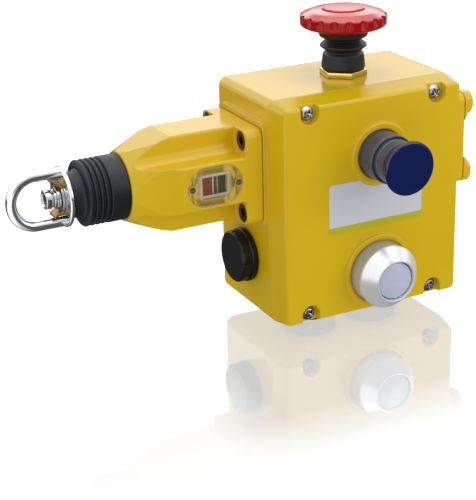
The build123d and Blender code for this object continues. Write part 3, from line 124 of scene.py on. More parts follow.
def soft_profile(corners: Sequence[Corner], steps: int) -> Array:
    """Rounds the corners of an open profile.

    Each corner is cut back by its reach along both runs, and the gap is filled by the curve
    (1-s)²·before + 2s(1-s)·corner + s²·after for s from 0 to 1.

    Args:
        corners: (station, radius, reach) for each corner, in order.
        steps: how many pieces each rounded corner has.

    Returns:
        An array of (station, radius) rows.
    """
    pts = np.array([c[:2] for c in corners], dtype=float)
    rows: list[Array] = []
    s = np.linspace(0.0, 1.0, steps + 1)[:, None]
    for i, (_, _, reach) in enumerate(corners):
        if reach <= 0 or i in (0, len(corners) - 1):
            rows.append(pts[i : i + 1])
            continue
        to_a, to_b = pts[i - 1] - pts[i], pts[i + 1] - pts[i]
        len_a, len_b = np.linalg.norm(to_a), np.linalg.norm(to_b)
        cut = min(reach, 0.49 * len_a, 0.49 * len_b)
        a, b = pts[i] + to_a / len_a * cut, pts[i] + to_b / len_b * cut
        rows.append((1 - s) ** 2 * a + 2 * s * (1 - s) * pts[i] + s**2 * b)
    return np.vstack(rows)


def linked(name: str, data: bpy.types.ID) -> bpy.types.Object:
    """Makes an object at the origin and links it to the scene.

    Args:
        name: its name.
        data: its mesh, lamp or camera.

    Returns:
        The object.
    """
    made = bpy.data.objects.new(name, data)
    bpy.context.scene.collection.objects.link(made)
    return made


def grid_object(name: str, grid: Array, sharp_deg: float = USUAL_SHARP) -> bpy.types.Object:
    """Makes a smooth quad mesh of a grid that closes on itself along its columns.

    Vertex (i, j) is grid[i, j] in millimetres, and face (i, j) joins (i, j), (i, j+1), (i+1, j+1)
    and (i+1, j), with the last column joined to the first. Poles and seams are welded.

    Args:
        name: the piece's name.
        grid: an array of (rows, columns, 3).
        sharp_deg: faces that meet at more than this angle keep a sharp edge.

    Returns:
        The new object at the origin.
    """
    rows, cols = grid.shape[:2]
    index = np.arange(rows * cols).reshape(rows, cols)
    right = np.roll(index, -1, axis=1)
    quads = np.stack([index[:-1], right[:-1], right[1:], index[1:]], axis=-1).reshape(-1, 4)
    raw = bpy.data.meshes.new(name)
    raw.from_pydata((grid.reshape(-1, 3) * MM).tolist(), [], quads.tolist())
    work = bmesh.new()
    work.from_mesh(raw)
    bpy.data.meshes.remove(raw)
    bmesh.ops.remove_doubles(work, verts=work.verts, dist=WELD)
    bmesh.ops.dissolve_degenerate(work, edges=work.edges, dist=WELD / 20)
    bmesh.ops.recalc_face_normals(work, faces=work.faces)
    return smooth_object(name, work, sharp_deg)


def smooth_object(name: str, work: bmesh.types.BMesh, sharp_deg: float) -> bpy.types.Object:
    """Makes a linked object of a mesh at work, shaded smooth but for its sharp edges.

    Args:
        name: the piece's name.
        work: the mesh at work, in metres, which is used up.
        sharp_deg: faces that meet at more than this angle keep a sharp edge.

    Returns:
        The new object at the origin.
    """
    mesh = bpy.data.meshes.new(name)
    work.to_mesh(mesh)
    work.free()
    mesh.polygons.foreach_set("use_smooth", np.ones(len(mesh.polygons), dtype=bool))
    mesh.set_sharp_from_angle(angle=math.radians(sharp_deg))
    return linked(name, mesh)


def turned(
    name: str,
    way: Way,
    origin: Point,
    corners: Sequence[Corner],
    segments: int = 96,
    steps: int = 6,
    closed: bool = False,
    shape: Optional[Shape] = None,
    sharp_deg: float = USUAL_SHARP,
) -> bpy.types.Object:
    """Turns a profile with rounded corners about an axis.

    point(i, j) = origin + station_i·axis + radius_i·(cos a_j·across + sin a_j·up), with a_j
    running once round. A shape function may change station and radius at each angle first.

    Args:
        name: the piece's name.
        way: the axis and its cross directions.
        origin: the axis' start in millimetres.
        corners: (station, radius, reach) for each corner of the profile, in order.
        segments: columns round the axis.
        steps: how many pieces each rounded corner has.
        closed: whether the last profile point joins the first, as in a ring.
        shape: function of (station, radius, angle) grids that gives new station and radius grids.
        sharp_deg: faces that meet at more than this angle keep a sharp edge.

    Returns:
        The new object.
    """
    profile = soft_profile(corners, steps)
    loop = np.vstack([profile, profile[:1]]) if closed else profile
    angle = np.linspace(0, 2 * np.pi, segments, endpoint=False)[None, :]
    station = np.repeat(loop[:, :1], segments, axis=1)
    radius = np.repeat(loop[:, 1:2], segments, axis=1)
    if shape is not None:
        station, radius = shape(station, radius, angle + 0 * station)
    grid = way.place(origin, station, radius * np.cos(angle), radius * np.sin(angle))
    return grid_object(name, grid, sharp_deg)


def carried_circle(name: str, path: Array, side: Array, radius: float, sides: int) -> bpy.types.Object:
    """Carries a circle along a path, its two ends closed by their centres.

    With t the unit tangent, n the unit part of side square to t and b = t x n:
    point(i, j) = path_i + radius·(cos a_j·n_i + sin a_j·b_i).

    Args:
        name: the piece's name.
        path: rows of points in millimetres.
        side: one direction, or one for each point, that the circle's first point leans to.
        radius: the circle's radius in millimetres.
        sides: points round the circle.

    Returns:
        The new object.
    """
    tangent = np.gradient(path, axis=0)
    tangent /= np.linalg.norm(tangent, axis=1, keepdims=True)
    lean = np.broadcast_to(side, path.shape)
    normal = lean - (lean * tangent).sum(axis=1, keepdims=True) * tangent
    normal /= np.linalg.norm(normal, axis=1, keepdims=True)
    across = np.cross(tangent, normal)
    angle = np.linspace(0, 2 * np.pi, sides, endpoint=False)[None, :, None]
    rings = path[:, None] + radius * (np.cos(angle) * normal[:, None] + np.sin(angle) * across[:, None])
    ends = [np.repeat(path[k : k + 1, None], sides, axis=1) for k in (0, -1)]
    return grid_object(name, np.concatenate([ends[0], rings, ends[1]]), sharp_deg=50)


def rounded_box(width: float, height: float, corner: float) -> Outline:
    """A rounded rectangle's outline, as a function of how far it is drawn in.

    Args:
        width: full width in millimetres.
        height: full height in millimetres.
        corner: corner radius in millimetres.

    Returns:
        A function that takes an inset and gives rows of (across, up).
    """

    def outline(inset: float) -> Array:
        """Each corner point is its arc centre + r·(cos a, sin a).

        Args:
            inset: how far the outline is drawn in.

        Returns:
            Rows of (across, up), eight to a corner.
        """
        r = max(corner - inset, 0.02)
        cx, cy = width / 2 - inset - r, height / 2 - inset - r
        a = np.linspace(0, np.pi / 2, 8)
        arcs = [
            np.column_stack([sx * cx + r * np.cos(a + t), sy * cy + r * np.sin(a + t)])
            for sx, sy, t in ((1, 1, 0), (-1, 1, np.pi / 2), (-1, -1, np.pi), (1, -1, 1.5 * np.pi))
        ]
        return np.vstack(arcs)

    return outline


def polygon(across_flats: float, sides: int, turn_deg: float, fine: int) -> Outline:
    """A regular polygon's outline with its sides cut into equal runs.

    Args:
        across_flats: distance between opposite flats in millimetres.
        sides: how many flats.
        turn_deg: angle of the first flat's normal.
        fine: runs to a side.

    Returns:
        A function that takes an inset and gives rows of (across, up).
    """

    def outline(inset: float) -> Array:
        """radius(a) = apothem / cos(a measured from the middle of the nearest flat).

        Args:
            inset: how far the outline is drawn in.

        Returns:
            Rows of (across, up).
        """
        a = np.linspace(0, 2 * np.pi, sides * fine, endpoint=False)
        near = (a + np.pi / sides) % (2 * np.pi / sides) - np.pi / sides
        r = (across_flats / 2 - inset) / np.cos(near)
        a = a + math.radians(turn_deg)
        return np.column_stack([r * np.cos(a), r * np.sin(a)])

    return outline


def slab(
    name: str,
    way: Way,
    origin: Point,
    outline: Outline,
    low: float,
    high: float,
    soft: float,
    hole: Outline,
) -> bpy.types.Object:
    """A plate with softened outer edges and a hole whose outline has as many points.

    The outline is carried up the side and drawn in round a quarter circle at both faces:
    inset = soft·(1 - sin a), height = end face -/+ soft·(1 - cos a).

    Args:
        name: the piece's name.
        way: the plate's normal and cross directions.
        origin: the plate's middle in millimetres.
        outline: the outer edge as a function of its inset.
        low: station of the lower face.
        high: station of the upper face.
        soft: radius of the softened edges.
        hole: the hole's edge as a function of its inset.

    Returns:
        The new object.
    """
    a = np.linspace(0, np.pi / 2, 4)
    insets = np.concatenate([soft * (1 - np.sin(a)), soft * (1 - np.sin(a[::-1]))])
    heights = np.concatenate([low + soft * (1 - np.cos(a)), high - soft * (1 - np.cos(a[::-1]))])
    edges = [(outline(i), h) for i, h in zip(insets, heights)] + [(hole(0.0), high), (hole(0.0), low)]
    rows = [np.column_stack([edge, np.full(len(edge), h)]) for edge, h in edges]
    stack = np.array(rows + rows[:1])
    return grid_object(name, way.place(origin, stack[..., 2], stack[..., 0], stack[..., 1]))


def joined(name: str, pieces: Sequence[bpy.types.Object]) -> bpy.types.Object:
    """Puts several objects' meshes into one object under a new name.

    Args:
        name: the joined piece's name.
        pieces: the objects, which are used up.

    Returns:
        The joined object.
    """
    work = bmesh.new()
    for piece in pieces:
        work.from_mesh(piece.data)
        bpy.data.objects.remove(piece)
    return smooth_object(name, work, USUAL_SHARP)


# Shader node groups


def linear(red: int, green: int, blue: int) -> Colour:
    """A screen colour of 0 to 255 as the linear values that shaders take."""
    parts = [c / 255 for c in (red, green, blue)]
    return tuple(c / 12.92 if c <= 0.04045 else ((c + 0.055) / 1.055) ** 2.4 for c in parts)


class Wiring:
    """Places nodes in a tree and links them, so that the finishes stay short to read."""

    def __init__(self, tree: bpy.types.NodeTree) -> None:
        """Keeps the tree that nodes are added to."""
        self.tree = tree

    def add(self, kind: str, **settings: object) -> bpy.types.Node:
        """Adds a node and sets its properties.

        Args:
            kind: the node's type name.
            **settings: property names and values.

        Returns:
            The node.
        """
        node = self.tree.nodes.new(kind)
        for key, value in settings.items():
            setattr(node, key, value)
        return node

    def join(self, source: Socket, target: Socket) -> None:
        """Links one socket to another."""
        self.tree.links.new(source, target)

    def feed(self, value: object, target: Socket) -> None:
        """Gives a socket its value.

        Args:
            value: another socket, a colour, or a value as it stands.
            target: the socket.
        """
        if isinstance(value, Socket):
            self.join(value, target)
        else:
            target.default_value = (*value, 1.0) if isinstance(value, tuple) else value

    def reads(self, kind: str) -> Socket:
        """One output of a new Texture Coordinate node."""
        return self.add("ShaderNodeTexCoord").outputs[kind]

    def axes(self, vector: Socket) -> bpy.types.NodeOutputs:
        """A vector's three numbers, found by X, Y and Z or by their order.

        Args:
            vector: the vector's socket.

        Returns:
            The three sockets.
        """
        split = self.add("ShaderNodeSeparateXYZ")
        self.join(vector, split.inputs[0])
        return split.outputs

    def maths(self, what: str, first: object, second: object) -> Socket:
        """Works out one number from two, each a socket or a plain value.

        Args:
            what: the operation's name.
            first: the first number.
            second: the second number.

        Returns:
            The result's socket.
        """
        node = self.add("ShaderNodeMath", operation=what)
        for slot, value in zip(node.inputs, (first, second)):
            self.feed(value, slot)
        return node.outputs[0]

    def plus(self, first: object, second: object) -> Socket:
        """The sum of two numbers."""
        return self.maths("ADD", first, second)

    def minus(self, first: object, second: object) -> Socket:
        """The first number less the second."""
        return self.maths("SUBTRACT", first, second)

    def times(self, first: object, *others: object) -> Socket:
        """The product of two or more numbers.

        Args:
            first: the first number.
            *others: what it is multiplied by, in order.

        Returns:
            The product's socket.
        """
        for other in others:
            first = self.maths("MULTIPLY", first, other)
        return first

    def capped(self, value: object) -> Socket:
        """A number kept between 0 and 1."""
        return self.maths("MINIMUM", self.maths("MAXIMUM", value, 0.0), 1.0)

    def mixed(self, mask: object, low: object, high: object) -> Socket:
        """Blends two colours by a mask, each a socket or a plain value.

        Args:
            mask: 0 for the first colour, 1 for the second.
            low: the first colour.
            high: the second colour.

        Returns:
            The blended colour's socket.
        """
        node = self.add("ShaderNodeMix", data_type="RGBA")
        for slot, value in zip((node.inputs[0], *node.inputs[6:8]), (mask, low, high)):
            self.feed(value, slot)
        return node.outputs[2]

    def group(self, made: bpy.types.NodeTree, **values: object) -> bpy.types.Node:
        """Places a node group with its own values.

        Args:
            made: the group.
            **values: input names, with spaces as underscores, and their values or sockets.

        Returns:
            The group's node.
        """
        node = self.add("ShaderNodeGroup", node_tree=made)
        for key, value in values.items():
            self.feed(value, node.inputs[key.replace("_", " ")])
        return node


def new_group(
    name: str, takes: dict[str, float], gives: Sequence[str]
) -> tuple[Wiring, bpy.types.Node, bpy.types.Node]:
    """Starts a shader node group that reads a position and some numbers.

    Args:
        name: the group's name.
        takes: number inputs and their usual values.
        gives: number outputs.

    Returns:
        The wiring, the group's input node and its output node.
    """
    tree = bpy.data.node_groups.new(name, "ShaderNodeTree")
    tree.interface.new_socket("Vector", in_out="INPUT", socket_type="NodeSocketVector")
    for key, value in takes.items():
        tree.interface.new_socket(key, in_out="INPUT", socket_type="NodeSocketFloat").default_value = value
    for key in gives:
        tree.interface.new_socket(key, in_out="OUTPUT", socket_type="NodeSocketFloat")
    wire = Wiring(tree)
    return wire, wire.add("NodeGroupInput"), wire.add("NodeGroupOutput")


def grain_group() -> bpy.types.NodeTree:
    """Fine and coarse noise: the height of a surface's grain and a slow cloudy mask.

    height = fine noise + 0.35·noise four times finer; cloud = 3·(slow noise - 0.35), kept
    between 0 and 1.

    Returns:
        The group.
    """
    wire, taken, given = new_group("grain", {"Scale": 900.0, "Cloud Scale": 25.0}, ("Height", "Cloud"))
    fine, finer, cloud = (wire.add("ShaderNodeTexNoise") for _ in range(3))
    for node in (fine, finer, cloud):
        wire.join(taken.outputs["Vector"], node.inputs["Vector"])
    wire.join(taken.outputs["Scale"], fine.inputs["Scale"])
    wire.join(wire.times(taken.outputs["Scale"], 4.0), finer.inputs["Scale"])
    wire.join(taken.outputs["Cloud Scale"], cloud.inputs["Scale"])
    cloud.inputs["Detail"].default_value = 4.0
    small = wire.times(finer.outputs["Fac"], 0.35)
    wire.join(wire.plus(fine.outputs["Fac"], small), given.inputs["Height"])
    wide = wire.times(wire.minus(cloud.outputs["Fac"], 0.35), 3.0)
    wire.join(wire.capped(wide), given.inputs["Cloud"])
    return wire.tree


def edge_group() -> bpy.types.NodeTree:
    """How near a point is to an outer edge, from how far a rounded normal leaves the flat one.

    mask = 6·(1 - rounded normal · true normal), kept between 0 and 1.

    Returns:
        The group.
    """
    wire, taken, given = new_group("edge_wear_and_highlight", {"Reach": 0.0006}, ("Mask",))
    bevel = wire.add("ShaderNodeBevel", samples=BEVEL_SAMPLES)
    wire.join(taken.outputs["Reach"], bevel.inputs["Radius"])
    true = wire.add("ShaderNodeNewGeometry")
    dot = wire.add("ShaderNodeVectorMath", operation="DOT_PRODUCT")
    wire.join(bevel.outputs["Normal"], dot.inputs[0])
    wire.join(true.outputs["Normal"], dot.inputs[1])
    off = wire.times(wire.minus(1.0, dot.outputs["Value"]), 6.0)
    wire.join(wire.capped(off), given.inputs["Mask"])
    return wire.tree


def rings_group() -> bpy.types.NodeTree:
    """Fine turning marks round an axis: noise read only at the distance from it and along it.

    marks = noise at (Scale·sqrt(x² + y²), Scale·z), with the axis laid along z by a mapping.

    Returns:
        The group.
    """
    wire, taken, given = new_group("turning_marks", {"Scale": 6000.0}, ("Height", "Tone"))
    place = wire.axes(taken.outputs["Vector"])
    squares = [wire.times(place[name], place[name]) for name in ("X", "Y")]
    radius = wire.maths("POWER", wire.plus(*squares), 0.5)
    spot = wire.add("ShaderNodeCombineXYZ")
    wire.join(radius, spot.inputs["X"])
    wire.join(place["Z"], spot.inputs["Y"])
    fine, slow = wire.add("ShaderNodeTexNoise"), wire.add("ShaderNodeTexNoise")
    for node in (fine, slow):
        wire.join(spot.outputs[0], node.inputs["Vector"])
    wire.join(taken.outputs["Scale"], fine.inputs["Scale"])
    wire.join(wire.times(taken.outputs["Scale"], 0.15), slow.inputs["Scale"])
    wire.join(fine.outputs["Fac"], given.inputs["Height"])
    wire.join(slow.outputs["Fac"], given.inputs["Tone"])
    return wire.tree


@dataclass
class Groups:
    """The shader node groups that the finishes share, each made once."""

    grain: bpy.types.NodeTree = field(default_factory=grain_group)
    edge: bpy.types.NodeTree = field(default_factory=edge_group)
    rings: bpy.types.NodeTree = field(default_factory=rings_group)


GROUPS = Groups()


# Finishes


@dataclass(frozen=True)
class Finish:
    """A plain solid finish with grain, cloudy tone, paler edges that are part wear and part painted
    highlight, and rounded highlights.
    """

    name: str
    slot: str
    colour: Colour
    roughness: float
    metallic: float = 0.0
    coat: float = 0.0
    coat_roughness: float = 0.06
    specular: float = 0.5
    grain_scale: float = 1500.0
    grain_depth: float = 0.004
    cloud_scale: float = 25.0
    tone: float = 0.06
    gloss_change: float = 0.05
    edge_reach: float = 0.0006
    edge_share: float = 0.6
    # edge_lift pales the edges towards white: part wear, part painted highlight.
    edge_lift: float = 0.15
    round_reach: float = 0.0003

    def start(self) -> tuple[bpy.types.Material, Wiring, bpy.types.Node, Socket]:
        """Makes the material with its constants set on the shader.

        Returns:
            The material, its wiring, the Principled node and the Object coordinates.
        """
        made = bpy.data.materials.new(self.name)
        made.use_nodes = True
        wire = Wiring(made.node_tree)
        shader = made.node_tree.nodes["Principled BSDF"]
        shader.inputs["Metallic"].default_value = self.metallic
        shader.inputs["Coat Weight"].default_value = self.coat
        shader.inputs["Coat Roughness"].default_value = self.coat_roughness
        shader.inputs["Specular IOR Level"].default_value = self.specular
        return made, wire, shader, wire.reads("Object")

    def relief(self, wire: Wiring, height: Socket, depth: float) -> Socket:
        """Bump of a height over a normal that is rounded at the edges.

        Args:
            wire: the material's wiring.
            height: the height's socket, about 0 to 1.
            depth: the bump's depth in millimetres.

        Returns:
            The normal's socket.
        """
        bump = wire.add("ShaderNodeBump")
        bump.inputs["Strength"].default_value = 1.0
        bump.inputs["Distance"].default_value = depth * MM
        wire.join(height, bump.inputs["Height"])
        if self.round_reach > 0:
            bevel = wire.add("ShaderNodeBevel", samples=BEVEL_SAMPLES)
            bevel.inputs["Radius"].default_value = self.round_reach
            wire.join(bevel.outputs["Normal"], bump.inputs["Normal"])
        return bump.outputs["Normal"]

    def body_colour(self, wire: Wiring, place: Socket, cloud: Socket) -> Socket:
        """The colour over the surface: a cloudy tone, and paler edges that are part wear and part painted
        highlight.

        Args:
            wire: the material's wiring.
            place: the Object coordinates.
            cloud: the slow mask of the grain group.

        Returns:
            The colour's socket.
        """
        dark = tuple(c * (1 - self.tone) for c in self.colour)
        pale = tuple(min(c * (1 + self.tone), 1.0) for c in self.colour)
        base = wire.mixed(cloud, dark, pale)
        edge = wire.group(GROUPS.edge, Vector=place, Reach=self.edge_reach)
        # Paler edges: part wear, part painted highlight.
        lifted = tuple(c + (1 - c) * self.edge_lift for c in self.colour)
        return wire.mixed(wire.times(edge.outputs["Mask"], self.edge_share), base, lifted)

    def lay(self, wire: Wiring, colour: Socket, rub: Socket, height: Socket, depth: float) -> None:
        """Joins a surface's colour, gloss and relief to the shader.

        Args:
            wire: the material's wiring.
            colour: the colour's socket.
            rub: the mask that changes the roughness by up to gloss_change.
            height: the relief's height.
            depth: the relief's depth in millimetres.
        """
        inputs = wire.tree.nodes["Principled BSDF"].inputs
        wire.join(colour, inputs["Base Color"])
        wire.join(wire.plus(wire.times(rub, self.gloss_change), self.roughness), inputs["Roughness"])
        wire.join(self.relief(wire, height, depth), inputs["Normal"])

    def material(self) -> bpy.types.Material:
        """Makes the whole material.

        Returns:
            The material.
        """
        made, wire, _, place = self.start()
        grain = wire.group(GROUPS.grain, Vector=place, Scale=self.grain_scale, Cloud_Scale=self.cloud_scale)
        cloud = grain.outputs["Cloud"]
        colour = self.body_colour(wire, place, cloud)
        self.lay(wire, colour, cloud, grain.outputs["Height"], self.grain_depth)
        return made


@dataclass(frozen=True)
class TurnedFinish(Finish):
    """A finish with fine turning marks round an axis, which is square to the lid."""

    centre: Point = (0.0, 0.0, 0.0)
    tilt: Point = (90.0, 0.0, 0.0)
    mark_scale: float = 6000.0
    mark_depth: float = 0.006

    def material(self) -> bpy.types.Material:
        """Makes the material, with the marks' axis laid through the piece by a Mapping node.

        Returns:
            The material.
        """
        made, wire, _, place = self.start()
        moved = wire.add("ShaderNodeVectorMath", operation="SUBTRACT")
        moved.inputs[1].default_value = tuple(c * MM for c in self.centre)
        wire.join(place, moved.inputs[0])
        laid = wire.add("ShaderNodeMapping")
        laid.inputs["Rotation"].default_value = tuple(math.radians(a) for a in self.tilt)
        wire.join(moved.outputs[0], laid.inputs["Vector"])
        marks = wire.group(GROUPS.rings, Vector=laid.outputs[0], Scale=self.mark_scale)
        colour = self.body_colour(wire, place, marks.outputs["Tone"])
        self.lay(wire, colour, marks.outputs["Height"], marks.outputs["Height"], self.mark_depth)
        return made


@dataclass(frozen=True)
class ClearPlastic(Finish):
    """Thin clear moulded plastic: see-through in the middle, with a painted highlight that makes its edges
    pale and less see-through.
    """

    body: float = 0.07
    rim: float = 0.8
    rim_highlight_colour: Colour = (1.0, 0.99, 0.93)

    def material(self) -> bpy.types.Material:
        """Makes the material, whose cover rises from body to rim with the edge mask.

        Returns:
            The material.
        """
        made, wire, shader, place = self.start()
        grain = wire.group(GROUPS.grain, Vector=place, Scale=self.grain_scale, Cloud_Scale=self.cloud_scale)
        edge = wire.group(GROUPS.edge, Vector=place, Reach=self.edge_reach).outputs["Mask"]
        wire.join(wire.plus(wire.times(edge, self.rim - self.body), self.body), shader.inputs["Alpha"])
        # The pale rim colour and the higher cover at the rim are a painted highlight where light catches the
        # plastic's edges.
        colour = wire.mixed(edge, self.colour, self.rim_highlight_colour)
        self.lay(wire, colour, grain.outputs["Cloud"], grain.outputs["Height"], self.grain_depth)
        return made


@dataclass(frozen=True)
class Banded(Finish):
    """A finish that changes colour across straight lines, such as a printed strip."""

    axis: int = 2
    bands: tuple[tuple[float, Colour], ...] = ()
    coat_from: Optional[float] = None
    coat_share: float = 0.62

    def material(self) -> bpy.types.Material:
        """Makes the material, with a clear coat beyond coat_from where that is set.

        Returns:
            The material.
        """
        made = super().material()
        if self.coat_from is not None:
            wire = Wiring(made.node_tree)
            along = wire.axes(wire.reads("Object"))[self.axis]
            coated = wire.maths("GREATER_THAN", along, self.coat_from * MM)
            weight = wire.times(coated, self.coat_share)
            wire.join(weight, made.node_tree.nodes["Principled BSDF"].inputs["Coat Weight"])
        return made

    def body_colour(self, wire: Wiring, place: Socket, cloud: Socket) -> Socket:
        """The colour over the surface: each band takes over where the coordinate passes its start.

        Args:
            wire: the material's wiring.
            place: the Object coordinates.
            cloud: the slow mask of the grain group.

        Returns:
            The colour's socket.
        """
        along = wire.axes(place)[self.axis]
        colour = super().body_colour(wire, place, cloud)
        for start, paint in self.bands:
            colour = wire.mixed(wire.maths("GREATER_THAN", along, start * MM), colour, paint)
        return colour


class Paint(Enum):
    """The finishes of the switch that need no place of their own."""

    YELLOW = Finish("yellow_powder_coat", "yellow_paint", linear(240, 200, 13), 0.17, specular=0.35,
                    grain_scale=520.0, grain_depth=0.008, cloud_scale=18.0, tone=0.035, gloss_change=0.08,
                    edge_reach=0.0009, edge_lift=0.16, round_reach=0.0009)
    RUBBER = Finish("black_rubber", "black_rubber", linear(30, 32, 37), 0.42, specular=0.3,
                    grain_depth=0.01, tone=0.12, gloss_change=0.12, edge_lift=0.05)
    RED = Finish("red_gloss_plastic", "red_plastic", linear(222, 12, 14), 0.12, specular=0.7,
                 grain_scale=260.0, tone=0.04, edge_lift=0.02, round_reach=0.0002)
    BLACK = Finish("black_moulded_plastic", "black_plastic", linear(15, 15, 17), 0.38, specular=0.3,
                   grain_scale=2200.0, grain_depth=0.012, tone=0.1, gloss_change=0.1, edge_lift=0.06)
    GREY = Finish("grey_moulded_plastic", "grey_plastic", linear(150, 152, 155), 0.5, grain_scale=1800.0,
                  grain_depth=0.01)
    BOLT = Finish("polished_bolt", "polished_steel", linear(176, 176, 178), 0.12, metallic=1.0,
                  grain_scale=400.0, grain_depth=0.003, tone=0.08, gloss_change=0.06)
    STEEL = Finish("zinc_plated_steel", "steel", linear(180, 182, 185), 0.34, metallic=1.0,
                   grain_scale=1200.0, tone=0.1)
    CHROME = Finish("polished_steel", "polished_steel", linear(205, 207, 211), 0.09, metallic=1.0,
                    grain_scale=400.0, grain_depth=0.003, tone=0.04, gloss_change=0.06)
    GOLD = Finish("yellow_plated_steel", "plated_brass", linear(138, 110, 46), 0.36, metallic=1.0,
                  grain_scale=700.0, grain_depth=0.01, tone=0.25, gloss_change=0.15, cloud_scale=180.0)
    PLATED_TABS = Banded("yellow_plated_tabs", "plated_brass", linear(138, 110, 46), 0.3, metallic=1.0,
                         grain_scale=700.0, grain_depth=0.01, tone=0.25, gloss_change=0.15, cloud_scale=180.0,
                         bands=((13.6, linear(176, 176, 178)), (23.4, linear(138, 110, 46))))
    BRONZE = Finish("sintered_bronze", "bronze_bush", linear(170, 130, 80), 0.5, metallic=1.0,
                    grain_scale=2600.0, grain_depth=0.01, tone=0.15)
    SCREW = Finish("plated_screw", "polished_steel", linear(158, 158, 160), 0.2, metallic=1.0,
                   grain_scale=900.0, tone=0.15, gloss_change=0.08)
    # The nut's yellow tint is a painted reflection of the yellow housing round it.
    NICKEL = Finish("nickel_with_painted_yellow_reflection", "polished_steel", linear(208, 186, 98), 0.1, metallic=1.0,
                    grain_scale=400.0, grain_depth=0.003, tone=0.05, gloss_change=0.06)
    # Dark brown for the lining of the bolt's hollow end: painted shade in the hollow.
    SOCKET = Finish("dark_socket_painted_shade", "black_plastic", linear(44, 36, 26), 0.3, metallic=0.6,
                    grain_depth=0.006, tone=0.3)
    BROWN_SCREW = Finish("brown_screw", "black_plastic", linear(128, 92, 34), 0.4, metallic=0.4, tone=0.2)
    DARK_SCREW = Finish("dark_screw", "black_plastic", linear(70, 55, 45), 0.35, metallic=0.8, tone=0.2)
    FOIL = Banded("label_foil", "label_foil", linear(206, 202, 14), 0.36, grain_scale=3000.0,
                  grain_depth=0.002, tone=0.02, edge_reach=0.0001, round_reach=0.0,
                  bands=((-7.2, linear(226, 228, 236)),))
    LENS = Finish("diffusing_lens", "lens_white", linear(205, 210, 232), 0.12, coat=0.2, grain_scale=180.0,
                  cloud_scale=90.0, tone=0.05, edge_lift=0.2)
    CLEAR = ClearPlastic("clear_window", "clear_lens", linear(236, 220, 150), 0.06, grain_scale=300.0,
                         grain_depth=0.002, cloud_scale=60.0, edge_reach=0.0007)
    PALE = Finish("pale_window_mask", "clear_lens", linear(238, 204, 60), 0.3, grain_scale=900.0,
                  tone=0.05, edge_reach=0.0003, edge_lift=0.5)
    FRAME = Finish("pale_window_frame", "clear_lens", linear(196, 186, 166), 0.3, grain_scale=900.0,
                   tone=0.05, edge_reach=0.0003, edge_lift=0.5)
    # The black rubber gaskets take the colour of the yellow paint in shade: painted shade along the joints.
    JOINT_SHADE = Finish("gasket_painted_joint_shade", "black_rubber", linear(104, 82, 28), 0.7, grain_scale=2500.0,
                   grain_depth=0.01, tone=0.1)


MADE: dict[str, bpy.types.Material] = {}


def coat(piece: bpy.types.Object, finish: Finish) -> bpy.types.Object:
    """Gives an object one finish.

    Args:
        piece: the object.
        finish: the finish, whose material is made once.

    Returns:
        The object.
    """
    if finish.name not in MADE:
        MADE[finish.name] = finish.material()
    piece.data.materials.clear()
    piece.data.materials.append(MADE[finish.name])
    return piece


def dress(nodes: Sequence[str], finish: Finish) -> None:
    """Gives CAD nodes a finish and leaves their shape as it is.

    Args:
        nodes: the nodes' names.
        finish: their finish.
    """
    for name in nodes:
        coat(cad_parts[name], finish)
        LOG.info("dressed %s in %s", name, finish.name)


def stand_in(piece: bpy.types.Object, body: Body, finish: Finish, *nodes: str) -> bpy.types.Object:
    """Sets a piece on a body in place of CAD nodes.

    Args:
        piece: the new piece.
        body: the body it moves with.
        finish: its finish.
        *nodes: the nodes it stands for.

    Returns:
        The piece.
    """
    coat(piece, finish)
    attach(piece, body.value)
    if nodes:
        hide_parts(*nodes)
    LOG.info("made %s on %s", piece.name, body.value)
    return piece


def stretch(
    piece: bpy.types.Object, body: Body, finish: Finish, start: Point, end: Point, node: str
) -> None:
    """Sets a soft or sprung piece in place of a CAD node, with its transform baked in; it stays fixed and
    does not follow the sliding body.

    Args:
        piece: the new piece.
        body: the sliding body, which only the log message names.
        finish: its finish.
        start: where the piece would stop following the switch, in millimetres; not used.
        end: where the piece would follow the body fully, in millimetres; not used.
        node: the node it stands for.
    """
    coat(piece, finish)
    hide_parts(node)
    near, far = (tuple(c * MM for c in p) for p in (start, end))
    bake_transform(piece)
    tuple(near)
    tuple(far)
    LOG.info("made %s between switch and %s", piece.name, body.value)


def node_box(name: str) -> tuple[Array, Array]:
    """A CAD node's lowest and highest corners in millimetres."""
    low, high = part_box(name)
    return np.array(low) / MM, np.array(high) / MM


def middle(name: str) -> Array:
    """The middle of a CAD node's box in millimetres."""
    return sum(node_box(name)) / 2


def lid_axis(name: str) -> Point:
    """The axis of a node that stands on the lid, where it leaves the lid's front face."""
    x, _, z = middle(name)
    return (float(x), float(node_box("label_plate")[1][1]), float(z))


def lid_span(name: str) -> tuple[float, float]:
    """How far a node reaches along the lid's outward normal.

    Args:
        name: the node's name.

    Returns:
        Its rear and its front, in millimetres before the lid's front face.
    """
    low, high = node_box(name)
    _, face, _ = lid_axis(name)
    return float(face - high[1]), float(face - low[1])


